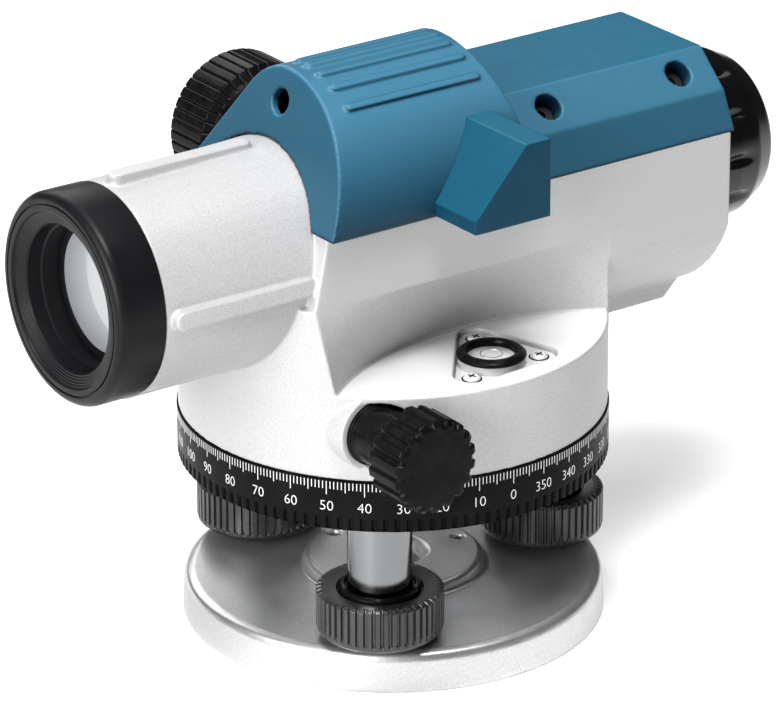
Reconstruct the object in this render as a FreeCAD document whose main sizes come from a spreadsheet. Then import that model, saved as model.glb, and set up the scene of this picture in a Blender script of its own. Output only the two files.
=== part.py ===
"""Automatic level: an optical levelling instrument on its own tribrach and base plate.

The telescope lies along X with its objective towards -X. +Z is up, along the standing axis.
The origin is on the standing axis, at the mouth of the tripod thread in the base plate's underside.
All sizes are in millimetres and stand in the sheet "Sizes".
"""
import FreeCAD
import Part
import math
import os
import re
import Sketcher

from FreeCAD import Placement, Rotation, Vector

SIZES = {
    # Base plate, tripod thread and the spring plate under it
    "base_radius": 55.5,
    "base_rim_radius": 55.1,
    "base_thickness": 11.0,
    "base_edge_round": 2.4,
    "boss_radius": 23.3,
    "boss_top": 14.5,
    "thread_radius": 6.75,
    "thread_length": 12.0,
    "thread_mouth_radius": 9.3,
    "seat_radius": 14.0,
    "recess_radius": 52.0,
    "recess_depth": 2.2,
    "spring_thickness": 1.2,
    "spring_arm_width": 12.0,
    "spring_arm_end": 49.5,
    "spring_hub_radius": 24.0,
    "spring_screw_circle": 19.0,
    "spring_screw_radius": 1.5,
    "spring_screw_top": 11.5,
    "screw_hole_gap": 0.1,
    # Three foot screws
    "foot_circle": 43.7,
    "foot_angle": -130.2,
    "foot_count": 3,
    "ball_radius": 3.9,
    "ball_height": 6.4,
    "ball_gap": 0.08,
    "socket_gap": 0.3,
    "neck_radius": 2.6,
    "neck_hole_radius": 3.3,
    "foot_shank_radius": 4.0,
    "foot_shank_top": 46.0,
    "foot_knob_radius": 16.4,
    "foot_knob_bottom": 12.7,
    "foot_knob_top": 25.0,
    "foot_knob_chamfer": 1.0,
    "foot_knob_lip_radius": 15.6,
    "foot_groove_radius": 11.0,
    "foot_groove_floor": 23.2,
    "foot_well_radius": 9.2,
    "foot_well_floor": 18.8,
    "foot_flutes": 48,
    "foot_flute_radius": 0.55,
    "collar_radius": 10.6,
    "collar_bottom": 23.5,
    "collar_top": 25.7,
    "sleeve_radius": 8.3,
    "sleeve_bottom": 22.0,
    "sleeve_top": 51.3,
    # Tribrach and standing axis
    "running_gap": 0.06,
    "hub_bottom": 30.0,
    "hub_radius": 15.0,
    "tribrach_radius": 53.3,
    "tribrach_bottom": 46.0,
    "tribrach_top": 51.5,
    "bearing_radius": 20.0,
    "bearing_top": 68.1,
    "clutch_radius": 16.0,
    "clutch_top": 75.5,
    "axis_radius": 9.0,
    "axis_flange_radius": 14.0,
    "axis_flange_bottom": 76.2,
    "axis_end": 26.5,
    "nut_shank_radius": 6.0,
    "nut_radius": 11.5,
    "nut_bottom": 27.2,
    "nut_top": 29.6,
    # Horizontal circle
    "circle_radius": 56.3,
    "circle_bottom": 45.4,
    "circle_top": 58.8,
    "circle_skirt_radius": 53.8,
    "circle_web_bottom": 53.0,
    "circle_web_top": 55.5,
    "circle_rim_radius": 48.0,
    "circle_teeth": 120,
    "circle_tooth_radius": 0.7,
    "circle_tooth_height": 4.4,
    # Worm drive
    "worm_centre": 35.0,
    "worm_height": 71.6,
    "worm_radius": 3.8,
    "worm_half_length": 10.0,
    "worm_shaft_radius": 3.0,
    "wheel_radius": 30.8,
    "wheel_bottom": 68.5,
    "wheel_top": 74.3,
    "wheel_teeth": 80,
    "wheel_tooth_radius": 0.7,
    "washer_radius": 22.0,
    "washer_bottom": 74.6,
    "washer_top": 75.4,
    "bush_radius": 7.6,
    "bush_spigot_radius": 6.0,
    "bush_inner_end": 31.0,
    "bush_outer_end": 54.3,
    "bush_seat": 40.5,
    "bush_flange_radius": 8.4,
    "bush_flange": 1.5,
    "bush_sink_radius": 8.8,
    "bush_boss_radius": 9.8,
    "bush_boss_start": 30.0,
    "tangent_knob_radius": 12.4,
    "tangent_knob_start": 54.6,
    "tangent_knob_end": 68.0,
    "tangent_lobes": 18,
    "tangent_flute_radius": 1.4,
    # Drum of the housing
    "drum_radius": 55.8,
    "drum_bottom": 59.1,
    "drum_wall": 3.5,
    "shelf_height": 81.8,
    "shelf_underside": 78.6,
    "drum_plate_bottom": 59.2,
    "drum_plate_top": 61.2,
    "drum_plate_bore": 20.6,
    "post_circle": 46.5,
    "post_radius": 4.0,
    "drum_screw_radius": 1.5,
    "drum_screw_top": 68.0,
    # Middle and rear of the housing
    "axis_height": 109.5,
    "side_wall": 31.5,
    "crease_height": 103.5,
    "wall_lean_angle": 11.8,
    "wall_front": -42.1,
    "cover_seat": 122.2,
    "scoop_depth": 18.4,
    "scoop_middle": 10.0,
    "scoop_front": -43.0,
    "scoop_rear": 46.5,
    "rear_start": 46.0,
    "rear_end": 87.1,
    "housing_end": 85.8,
    "rear_curve_top": 97.0,
    "rear_curve_side": 26.9,
    "rear_curve_middle": 88.0,
    "keel_width": 28.4,
    "keel_top": 76.6,
    "keel_bottom": 71.8,
    "keel_end": 84.3,
    "keel_slant": 6.0,
    "cavity_front": -35.0,
    "cavity_rear": 76.0,
    "cavity_half_width": 27.5,
    "well_half_width": 13.0,
    "well_bottom": 87.0,
    # Telescope tube and objective
    "tube_radius": 28.6,
    "tube_front_radius": 27.1,
    "tube_bore": 25.4,
    "tube_front": -87.0,
    "tube_back": -35.0,
    "tube_rib_width": 4.8,
    "tube_rib_height": 1.3,
    "tube_rib_front": -85.6,
    "tube_rib_back": -44.0,
    "ring_radius": 27.4,
    "ring_length": 13.5,
    "ring_spigot": 5.1,
    "ring_spigot_bore": 20.0,
    "ring_bore": 18.6,
    "ring_stop_radius": 16.3,
    "ring_stop_length": 2.0,
    "cell_front": -86.0,
    "cell_shoulder": -81.7,
    "cell_back": -68.0,
    "cell_bore": 18.0,
    "lens_sag": 2.6,
    "lens_front": -86.8,
    "lens_back": -78.5,
    "second_lens_front": -78.0,
    "second_lens_back": -71.0,
    # Focusing
    "focus_x": -16.1,
    "focus_z": 124.0,
    "focus_knob_radius": 19.4,
    "focus_knob_start": 32.2,
    "focus_knob_end": 50.5,
    "focus_ribs": 40,
    "focus_flute_radius": 0.9,
    "pinion_radius": 1.8,
    "pinion_start": -2.5,
    "pinion_neck_end": 7.0,
    "focus_shaft_radius": 3.0,
    "focus_shaft_end": 44.0,
    "focus_bush_radius": 5.0,
    "focus_bush_start": 24.0,
    "focus_bush_end": 31.8,
    "guide_radius": 12.0,
    "guide_bore": 10.06,
    "guide_front": -44.0,
    "guide_flange": 4.0,
    "guide_back": 8.0,
    "slot_width": 5.0,
    "slot_front": -38.4,
    "carriage_radius": 10.0,
    "carriage_bore": 8.5,
    "carriage_length": 24.0,
    "rack_width": 4.4,
    "rack_bottom": 118.8,
    "rack_top": 121.9,
    "rack_length": 22.8,
    "focus_lens_sag": 1.2,
    "focus_lens_thickness": 4.6,
    # Compensator
    "comp_x": 30.0,
    "comp_length": 28.0,
    "comp_inner": 10.2,
    "comp_outer": 12.2,
    "comp_bottom": 88.0,
    "comp_floor": 89.5,
    "comp_top": 121.5,
    "comp_bridge_bottom": 119.0,
    "comp_bridge_length": 6.0,
    "prism_half_width": 10.1,
    "prism_bottom": 103.0,
    "prism_top": 116.0,
    "prism_far": 14.0,
    "prism_near": 5.0,
    "arm_inner": 7.5,
    "arm_outer": 9.0,
    "arm_length": 3.0,
    "pendulum_top": 118.3,
    "pendulum_bar_bottom": 116.4,
    "tray_top": 95.0,
    "tray_bottom": 93.5,
    "tray_length": 12.0,
    "mirror_length": 11.0,
    "mirror_width": 13.0,
    "mirror_thickness": 1.5,
    "vane_length": 2.0,
    "vane_width": 10.0,
    "vane_bottom": 90.4,
    "magnet_gap": 1.0,
    "magnet_length": 4.0,
    "magnet_top": 92.8,
    # Reticle and eyepiece
    "eye_tube_front": 62.0,
    "eye_tube_back": 98.0,
    "eye_tube_radius": 12.0,
    "eye_bore": 9.06,
    "reticle_front": 64.0,
    "reticle_back": 68.0,
    "reticle_bore": 7.0,
    "reticle_thickness": 1.5,
    "eye_cell_radius": 9.0,
    "eye_cell_front": 88.0,
    "eye_cell_back": 104.0,
    "eye_lens_radius": 7.6,
    "eye_lens_sag": 1.6,
    "eye_cap_start": 88.9,
    "eye_cap_end": 112.9,
    "eye_cap_radius": 23.3,
    "eye_hole_radius": 6.5,
    "eye_flutes": 12,
    "eye_flute_radius": 5.0,
    # Top cover
    "cover_wall": 2.6,
    "dome_front": -43.6,
    "dome_rear": 21.5,
    "dome_arc_radius": 35.5,
    "dome_arc_height": 120.3,
    "dome_lean_angle": 19.0,
    "dome_rear_lean_angle": 10.8,
    "dome_crest_radius": 16.0,
    "dome_far_slope": 56.0,
    "dome_rib_width": 2.2,
    "dome_rib_height": 0.9,
    "dome_rib_front": -28.4,
    "dome_rib_rear": 12.6,
    "block_top": 141.7,
    "block_top_half": 16.7,
    "block_chamfer_half": 26.7,
    "block_chamfer_height": 132.4,
    "block_start": 8.0,
    "cover_gap": 0.15,
    "cover_screw_front": 33.8,
    "cover_screw_rear": 76.0,
    "cover_screw_side": 21.3,
    "cover_screw_height": 137.4,
    "cover_screw_angle": 42.9,
    "cover_screw_depth": 6.5,
    "cover_screw_well": 3.7,
    "cover_screw_head": 3.2,
    "cover_screw_shank": 1.5,
    "cover_screw_socket": 1.3,
    "sight_hole_y": -0.7,
    "sight_hole_z": 147.6,
    "sight_hole_radius": 3.3,
    # Mirror hood over the bubble
    "hood_front": -12.3,
    "hood_rear": 10.9,
    "hood_crest": 3.3,
    "hood_bottom": 122.6,
    "hood_lip": 126.0,
    "hood_top": 143.2,
    "hood_side": 52.4,
    "hood_back": 37.4,
    "hood_wall": 1.8,
    "glass_thickness": 1.5,
    # Circular bubble
    "bubble_x": 2.4,
    "bubble_y": -39.3,
    "bubble_cup_radius": 8.0,
    "bubble_cup_bottom": 75.0,
    "bubble_glass_radius": 6.9,
    "bubble_glass_bottom": 76.5,
    "bubble_glass_top": 83.4,
    "bubble_rim_radius": 9.0,
    "bubble_window_radius": 6.2,
    "bubble_rim_top": 84.5,
    "pocket_floor": 79.9,
    "pocket_round": 4.6,
    "pocket_gap": 0.4,
    "bubble_plate_top": 80.6,
    "bubble_screw_radius": 1.2,
    "bubble_screw_head": 2.3,
    "bubble_screw_top": 81.5,
    "niche_top": 90.0,
}

# Where the bubble's adjusting screws stand, seen from above: two in front of the bubble, one behind it
BUBBLE_SCREWS = [(-7.6, -44.6), (14.6, -43.2), (8.6, -24.4)]
DRUM_POST_ANGLES = [0.0, 110.0, 250.0]

# How far each dome rib leans from upright towards the near side
DOME_RIB_ANGLES = [-2.6, 4.0, 12.7, 22.6, 34.0]
FOOT_NUMBERS = [1, 2, 3]

# Turns that carry the local Z axis onto each direction
UPRIGHT = Rotation()
TO_REAR = Rotation(Vector(0, 1, 0), 90)
TO_FRONT = Rotation(Vector(0, 1, 0), -90)
TO_FAR = Rotation(Vector(1, 0, 0), -90)
TO_NEAR = Rotation(Vector(1, 0, 0), 90)

doc = FreeCAD.newDocument("AutomaticLevel")
sheet = doc.addObject("Spreadsheet::Sheet", "Sizes")
nodes = {}


def fill_sheet():
    for row, (alias, value) in enumerate(SIZES.items(), start=1):
        sheet.set(f"A{row}", alias)
        sheet.set(f"B{row}", str(value))
        sheet.setAlias(f"B{row}", alias)
    doc.recompute()


def size(alias):
    return float(sheet.get(alias))


def bound(text):
    """A formula in the sheet's words, written the way an expression names the cells."""
    def cell(word):
        alias = word.group(0)
        return f"Sizes.{alias}" if alias in SIZES else alias

    return re.sub(r"[a-z_]+", cell, str(text))


def place(thing, x=0, y=0, z=0, turn=UPRIGHT):
    thing.Placement = Placement(Vector(), turn)
    for axis, text in (("x", x), ("y", y), ("z", z)):
        thing.setExpression(f"Placement.Base.{axis}", bound(text))
    return thing


def node(name, thing):
    """Names a finished sub-part: its label is also its file's name."""
    thing.Label = name
    nodes[name] = thing
    return thing


# Turned and milled bodies

def origin_plane(body, role):
    return next(item for item in body.Origin.OriginFeatures if item.Role == role)


def new_sketch(body, role="XZ_Plane"):
    sketch = body.newObject("Sketcher::SketchObject", body.Name + "_sketch")
    sketch.AttachmentSupport = [(origin_plane(body, role), "")]
    sketch.MapMode = "FlatFace"
    return sketch


def closed_outline(sketch, corners):
    """A closed polygon whose corners are held by the sheet's formulas."""
    count = len(corners)
    rough = [Vector(50 + math.cos(2 * math.pi * i / count), math.sin(2 * math.pi * i / count), 0)
             for i in range(count)]
    first = sketch.GeometryCount
    lines = [Part.LineSegment(rough[i], rough[(i + 1) % count]) for i in range(count)]
    sketch.addGeometry(lines, False)
    joints = [Sketcher.Constraint("Coincident", first + i, 2, first + (i + 1) % count, 1)
              for i in range(count)]
    sketch.addConstraint(joints)
    for i, (across, along) in enumerate(corners):
        for kind, text, guess in (("DistanceX", across, rough[i].x), ("DistanceY", along, rough[i].y)):
            index = sketch.addConstraint(Sketcher.Constraint(kind, -1, 1, first + i, 1, guess))
            sketch.setExpression(f"Constraints[{index}]", bound(text))


def turned(name, corners, x=0, y=0, z=0, turn=UPRIGHT):
    """A body turned about its local Z axis from (radius, height) corners."""
    body = doc.addObject("PartDesign::Body", name)
    sketch = new_sketch(body)
    closed_outline(sketch, corners)
    turning = body.newObject("PartDesign::Revolution", name + "_turning")
    turning.Profile = sketch
    turning.ReferenceAxis = (sketch, ["V_Axis"])
    turning.Angle = 360
    body.Tip = turning
    place(body, x, y, z, turn)
    doc.recompute()
    return body


def patterned(body, feature, count):
    pattern = body.newObject("PartDesign::PolarPattern", feature.Name + "_ring")
    pattern.Originals = [feature]
    pattern.Axis = (origin_plane(body, "Z_Axis"), [""])
    pattern.Angle = 360
    pattern.setExpression("Occurrences", bound(count))
    body.Tip = pattern
    doc.recompute()


def round_holes(body, centre, radius, count, depth=None, start=None):
    """Round cuts along the body's axis, spaced evenly around it; without a depth they go right through."""
    sketch = new_sketch(body, "XY_Plane")
    if start is not None:
        sketch.setExpression("AttachmentOffset.Base.z", bound(start))
    sketch.addGeometry(Part.Circle(Vector(10, 0, 0), Vector(0, 0, 1), 1.0), False)
    for kind, items, text in (("DistanceX", (-1, 1, 0, 3), centre), ("Radius", (0,), radius)):
        index = sketch.addConstraint(Sketcher.Constraint(kind, *items, 1.0))
        sketch.setExpression(f"Constraints[{index}]", bound(text))
    sketch.addConstraint(Sketcher.Constraint("DistanceY", -1, 1, 0, 3, 0.0))
    pocket = body.newObject("PartDesign::Pocket", body.Name + "_holes")
    pocket.Profile = sketch
    if depth is None:
        pocket.Type = "ThroughAll"
        pocket.Midplane = True
    else:
        pocket.Type = "Length"
        pocket.Reversed = True
        pocket.setExpression("Length", bound(depth))
    before = body.Shape.Volume
    doc.recompute()
    patterned(body, pocket, count)
    check_cut(body, before)
    return body


def check_cut(body, before):
    if body.Shape.Volume >= before:
        raise RuntimeError(f"{body.Name}: a cut removed nothing")


# Primitives and booleans

def cylinder(name, radius, height, x=0, y=0, z=0, turn=UPRIGHT):
    rod = doc.addObject("Part::Cylinder", name)
    rod.setExpression("Radius", bound(radius))
    rod.setExpression("Height", bound(height))
    return place(rod, x, y, z, turn)


def sphere(name, radius, x=0, y=0, z=0):
    ball = doc.addObject("Part::Sphere", name)
    ball.setExpression("Radius", bound(radius))
    return place(ball, x, y, z)


def block(name, low, high, turn=UPRIGHT):
    """A box between two corners, each an (x, y, z) of the sheet's formulas."""
    bar = doc.addObject("Part::Box", name)
    for side, axis in (("Length", 0), ("Width", 1), ("Height", 2)):
        bar.setExpression(side, bound(f"({high[axis]}) - ({low[axis]})"))
    return place(bar, *low, turn)


def fused(name, *things):
    joined = doc.addObject("Part::MultiFuse", name)
    joined.Shapes = list(things)
    doc.recompute()
    return joined


def cut(name, base, *tools):
    result = doc.addObject("Part::Cut", name)
    result.Base = base
    result.Tool = tools[0] if len(tools) == 1 else fused(name + "_tools", *tools)
    doc.recompute()
    return result


def shared(name, *things):
    result = doc.addObject("Part::MultiCommon", name)
    result.Shapes = list(things)
    doc.recompute()
    return result


def free_shape(name, shape):
    thing = doc.addObject("Part::Feature", name)
    thing.Shape = shape
    return thing


def lens(name, radius, sag, front, back):
    """A biconvex lens on the telescope's axis, from its front vertex to its rear vertex."""
    curve = f"(({radius}) ^ 2 + ({sag}) ^ 2) / (2 * ({sag}))"
    edge = cylinder(name + "_edge", radius, f"({back}) - ({front})", front, 0, "axis_height", TO_REAR)
    face = sphere(name + "_face", curve, f"({front}) + {curve}", 0, "axis_height")
    rear = sphere(name + "_rear", curve, f"({back}) - {curve}", 0, "axis_height")
    return shared(name, edge, face, rear)


def foot_place(body, number):
    """Puts a foot's piece, built on the Z axis, over its own ball socket."""
    turn = f"foot_angle + {120 * (number - 1)}"
    return place(body, f"foot_circle * cos({turn})", f"foot_circle * sin({turn})")


# Base

def make_base_plate():
    plate = turned("base_plate_body", [
        ("thread_radius", 0), ("seat_radius", 0), ("seat_radius", "recess_depth"),
        ("recess_radius", "recess_depth"), ("recess_radius", 0), ("base_radius", 0),
        ("base_rim_radius", "base_thickness - base_edge_round"),
        ("base_rim_radius - base_edge_round * 0.3", "base_thickness - base_edge_round * 0.3"),
        ("base_rim_radius - base_edge_round", "base_thickness"),
        ("boss_radius + 0.8", "base_thickness"), ("boss_radius", "boss_top - 0.8"),
        ("boss_radius - 0.8", "boss_top"), ("thread_mouth_radius", "boss_top"),
        ("thread_radius", "thread_length")])
    plate.Placement = Placement(Vector(), Rotation(Vector(0, 0, 1), size("foot_angle")))
    round_holes(plate, "spring_screw_circle", "spring_screw_radius + screw_hole_gap", "foot_count")
    round_holes(plate, "foot_circle", "neck_hole_radius", "foot_count")
    tools = []
    for number in FOOT_NUMBERS:
        cup = sphere(f"socket_{number}", "ball_radius + socket_gap", 0, 0, 0)
        well = cylinder(f"socket_well_{number}", "ball_radius + ball_gap", "ball_height")
        foot_place(cup, number).setExpression("Placement.Base.z", bound("ball_height"))
        foot_place(well, number)
        tools += [shared(f"socket_top_{number}", cup, socket_roof(number)), well]
    return node("base_plate", cut("base_plate_cut", plate, *tools))


def socket_roof(number):
    """The space above the ball's middle, where the socket is round."""
    roof = cylinder(f"socket_roof_{number}", "ball_radius + 1", "ball_radius + 1")
    foot_place(roof, number).setExpression("Placement.Base.z", bound("ball_height"))
    return roof


def make_spring_plate():
    low = "recess_depth - spring_thickness"
    ring = turned("spring_hub", [
        ("seat_radius + 0.3", low), ("spring_hub_radius", low),
        ("spring_hub_radius", "recess_depth"), ("seat_radius + 0.3", "recess_depth")])
    ring.Placement = Placement(Vector(), Rotation(Vector(0, 0, 1), size("foot_angle")))
    round_holes(ring, "spring_screw_circle", "spring_screw_radius + screw_hole_gap", "foot_count")
    arms = []
    for number in FOOT_NUMBERS:
        arm = block(f"spring_arm_{number}", ("spring_hub_radius - 2", "-spring_arm_width / 2", low),
                    ("spring_arm_end", "spring_arm_width / 2", "recess_depth"))
        turn = size("foot_angle") + 120 * (number - 1)
        place(arm, f"(spring_hub_radius - 2) * cos({turn}) + spring_arm_width / 2 * sin({turn})",
              f"(spring_hub_radius - 2) * sin({turn}) - spring_arm_width / 2 * cos({turn})", low,
              Rotation(Vector(0, 0, 1), turn))
        arms.append(arm)
    return node("spring_plate", fused("spring_plate_sheet", ring, *arms))


def make_spring_screws():
    solids = []
    for number in FOOT_NUMBERS:
        turn = f"foot_angle + {120 * (number - 1)}"
        screw = turned(f"spring_screw_{number}", [
            (0, 0.15), ("spring_screw_radius * 2", 0.15),
            ("spring_screw_radius * 2", "recess_depth - spring_thickness"),
            ("spring_screw_radius", "recess_depth - spring_thickness"),
            ("spring_screw_radius", "spring_screw_top"), (0, "spring_screw_top")],
            f"spring_screw_circle * cos({turn})", f"spring_screw_circle * sin({turn})")
        solids.append(screw)
    return node("spring_plate_screws", fused("spring_screw_set", *solids))


# Foot screws

def make_foot_knob(number):
    knob = turned(f"foot_knob_body_{number}", [
        ("foot_shank_radius", "foot_knob_bottom"),
        ("foot_knob_radius - foot_knob_chamfer", "foot_knob_bottom"),
        ("foot_knob_radius", "foot_knob_bottom + foot_knob_chamfer"),
        ("foot_knob_radius", "foot_knob_top - foot_knob_chamfer"),
        ("foot_knob_lip_radius", "foot_knob_top"), ("foot_groove_radius", "foot_knob_top"),
        ("foot_groove_radius", "foot_groove_floor"), ("foot_well_radius", "foot_groove_floor"),
        ("foot_well_radius", "foot_well_floor"), ("foot_shank_radius", "foot_well_floor")])
    round_holes(knob, "foot_knob_radius + foot_flute_radius * 0.2", "foot_flute_radius",
                "foot_flutes", "foot_knob_top - foot_knob_bottom - foot_knob_chamfer",
                "foot_knob_bottom + foot_knob_chamfer")
    return node(f"foot_knob_{number}", foot_place(knob, number))


def make_foot_spindle(number):
    ball = sphere(f"foot_ball_{number}", "ball_radius")
    neck = cylinder(f"foot_neck_{number}", "neck_radius", "foot_knob_bottom - ball_height")
    shank = cylinder(f"foot_shank_{number}", "foot_shank_radius", "foot_shank_top - foot_knob_bottom + 0.6")
    foot_place(ball, number).setExpression("Placement.Base.z", bound("ball_height"))
    foot_place(neck, number).setExpression("Placement.Base.z", bound("ball_height"))
    foot_place(shank, number).setExpression("Placement.Base.z", bound("foot_knob_bottom - 0.6"))
    return node(f"foot_spindle_{number}", fused(f"foot_spindle_rod_{number}", ball, neck, shank))


def ring_corners(inner, outer, bottom, top):
    return [(inner, bottom), (outer, bottom), (outer, top), (inner, top)]


def make_foot_collar(number):
    collar = turned(f"foot_collar_ring_{number}", [
        ("sleeve_radius + ball_gap", "collar_bottom"), ("collar_radius", "collar_bottom"),
        ("collar_radius", "collar_top - 0.8"), ("collar_radius - 0.8", "collar_top"),
        ("sleeve_radius + ball_gap", "collar_top")])
    return node(f"foot_collar_{number}", foot_place(collar, number))


def make_foot_sleeve(number):
    sleeve = turned(f"foot_sleeve_tube_{number}", ring_corners(
        "foot_shank_radius + running_gap", "sleeve_radius", "sleeve_bottom", "sleeve_top"))
    return node(f"foot_sleeve_{number}", foot_place(sleeve, number))


# Tribrach, circle and clutch

def make_tribrach():
    body = turned("tribrach_casting", [
        ("axis_radius + running_gap", "hub_bottom"), ("hub_radius", "hub_bottom"),
        ("hub_radius", "tribrach_bottom"), ("tribrach_radius", "tribrach_bottom"),
        ("tribrach_radius", "tribrach_top"), ("bearing_radius", "tribrach_top"),
        ("bearing_radius", "bearing_top"), ("clutch_radius", "bearing_top"),
        ("clutch_radius", "clutch_top"), ("axis_radius + running_gap", "clutch_top")])
    body.Placement = Placement(Vector(), Rotation(Vector(0, 0, 1), size("foot_angle")))
    round_holes(body, "foot_circle", "sleeve_radius", "foot_count")
    return node("tribrach_body", body)


def make_circle():
    ring = turned("circle_ring", [
        ("bearing_radius + running_gap", "circle_web_bottom"),
        ("circle_skirt_radius", "circle_web_bottom"), ("circle_skirt_radius", "circle_bottom"),
        ("circle_radius", "circle_bottom"), ("circle_radius", "circle_top"),
        ("circle_rim_radius", "circle_top"), ("circle_rim_radius", "circle_web_top"),
        ("bearing_radius + running_gap", "circle_web_top")])
    round_holes(ring, "circle_radius + circle_tooth_radius * 0.15", "circle_tooth_radius",
                "circle_teeth", "circle_tooth_height", "circle_bottom")
    return node("horizontal_circle", ring)


def make_worm_wheel():
    wheel = turned("worm_wheel_ring", ring_corners(
        "clutch_radius + running_gap", "wheel_radius", "wheel_bottom", "wheel_top"))
    round_holes(wheel, "wheel_radius + wheel_tooth_radius * 0.4", "wheel_tooth_radius", "wheel_teeth")
    return node("worm_wheel", wheel)


def make_clutch_washer():
    washer = turned("clutch_washer_ring", ring_corners(
        "clutch_radius", "washer_radius", "washer_bottom", "washer_top"))
    return node("clutch_washer", washer)


def make_axis():
    spindle = turned("axis_spindle_rod", [
        (0, "axis_end"), ("nut_shank_radius", "axis_end"), ("nut_shank_radius", "nut_top"),
        ("axis_radius", "nut_top"), ("axis_radius", "axis_flange_bottom"),
        ("axis_flange_radius", "axis_flange_bottom"), ("axis_flange_radius", "shelf_underside"),
        (0, "shelf_underside")])
    node("axis_spindle", spindle)
    nut = turned("axis_nut_ring", ring_corners("nut_shank_radius", "nut_radius", "nut_bottom", "nut_top"))
    node("axis_nut", nut)


# Tangent drive

def make_worm_shaft():
    rod = turned("worm_shaft_rod", [
        (0, "-tangent_knob_end + 3"), ("worm_shaft_radius", "-tangent_knob_end + 3"),
        ("worm_shaft_radius", "-worm_half_length"), ("worm_radius", "-worm_half_length"),
        ("worm_radius", "worm_half_length"), ("worm_shaft_radius", "worm_half_length"),
        ("worm_shaft_radius", "tangent_knob_end - 3"), (0, "tangent_knob_end - 3")],
        "-worm_centre", 0, "worm_height", TO_FAR)
    return node("worm_shaft", rod)


def make_tangent_side(name, turn, out):
    """One end of the tangent drive: its bush in the drum and its lobed knob."""
    length = "tangent_knob_end - tangent_knob_start"
    knob = turned(f"tangent_knob_{name}_body", [
        ("worm_shaft_radius", 0), ("tangent_knob_radius - 0.8", 0), ("tangent_knob_radius", 0.8),
        ("tangent_knob_radius", f"{length} - 1.6"), ("tangent_knob_radius - 0.5", f"{length} - 0.6"),
        ("tangent_knob_radius - 2", length), (0, length), (0, f"{length} - 3"),
        ("worm_shaft_radius", f"{length} - 3")],
        "-worm_centre", f"{out} * tangent_knob_start", "worm_height", turn)
    round_holes(knob, "tangent_knob_radius + tangent_flute_radius * 0.4", "tangent_flute_radius",
                "tangent_lobes")
    node(f"tangent_knob_{name}", knob)
    bush = turned(f"tangent_bush_{name}_body", [
        ("worm_shaft_radius + running_gap", "bush_inner_end"), ("bush_spigot_radius", "bush_inner_end"),
        ("bush_spigot_radius", "bush_seat"), ("bush_flange_radius", "bush_seat"),
        ("bush_flange_radius", "bush_seat + bush_flange"), ("bush_radius", "bush_seat + bush_flange"),
        ("bush_radius", "bush_outer_end - 0.6"), ("bush_radius - 0.6", "bush_outer_end"),
        ("worm_shaft_radius + running_gap", "bush_outer_end")], "-worm_centre", 0, "worm_height", turn)
    node(f"tangent_bush_{name}", bush)


# Housing

def scoop_tool(name, side):
    """What a wall's concave scoop removes: an arc at the shelf, running out to a straight crease."""
    out = side * 75.0
    low = size("shelf_height")
    high = size("crease_height")
    front = size("scoop_front")
    rear = size("scoop_rear")
    radius = size("drum_radius") + 0.05
    wall = size("side_wall")
    crest = math.sqrt(radius ** 2 - wall ** 2)
    start = Vector(front, side * math.sqrt(radius ** 2 - front ** 2), low)
    middle = Vector(size("scoop_middle"), side * size("scoop_depth"), low)
    end = Vector(rear, side * math.sqrt(radius ** 2 - rear ** 2), low)
    floor = Part.Wire([Part.Arc(start, middle, end).toShape(),
                       Part.makeLine(end, Vector(rear, out, low)),
                       Part.makeLine(Vector(rear, out, low), Vector(front, out, low)),
                       Part.makeLine(Vector(front, out, low), start)])
    corners = [Vector(-crest, side * wall, high), Vector(crest, side * wall, high),
               Vector(crest, out, high), Vector(-crest, out, high)]
    roof = Part.makePolygon(corners + corners[:1])
    return free_shape(name, Part.makeLoft([floor, roof], True, True))


def make_drum_blank():
    """The drum, the walls above it inside the same cylinder, and the scoop cut from each wall."""
    drum = cylinder("drum", "drum_radius", "shelf_height - drum_bottom", 0, 0, "drum_bottom")
    tall = cylinder("tall_drum", "drum_radius", "cover_seat - shelf_height + 1", 0, 0, "shelf_height - 1")
    lower = shared("lower_middle", tall, block(
        "lower_slab", ("-drum_radius", "-drum_radius", "shelf_height - 1"),
        ("drum_radius", "drum_radius", "crease_height")))
    upper = shared("upper_middle", tall, block(
        "upper_slab", ("-drum_radius", "-side_wall", "crease_height"),
        ("drum_radius", "side_wall", "cover_seat")))
    seat = Vector(size("wall_front"), 0, size("cover_seat"))
    wall = cut("upper_wall", upper, leaning_cut("wall_lean", seat, size("wall_lean_angle")))
    scooped = cut("scooped_middle", lower, scoop_tool("near_scoop", -1), scoop_tool("far_scoop", 1))
    return fused("drum_blank", drum, scooped, wall, *bush_bosses("boss", "bush_boss_radius",
                                                                 "bush_boss_start", "bush_seat"))


def bush_bosses(name, radius, start, end):
    """A pair of short rods on the worm's line, one at each side of the drum."""
    return [cylinder(f"{name}_{side}", radius, f"{end} - {start}", "-worm_centre", f"{out} * {start}",
                     "worm_height", turn)
            for side, out, turn in (("near", -1, TO_NEAR), ("far", 1, TO_FAR))]


def leaning_cut(name, foot, angle):
    """A slab in front of a face that leans by an angle about a foot point; behind it for a negative angle."""
    span = size("base_radius")
    depth = span if angle > 0 else -span
    slab = Part.makeBox(span, 2 * span, 2 * span, Vector(min(-depth, 0), -span, -span))
    slab.Placement = Placement(foot, Rotation(Vector(0, 1, 0), angle))
    return free_shape(name, slab)


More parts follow.
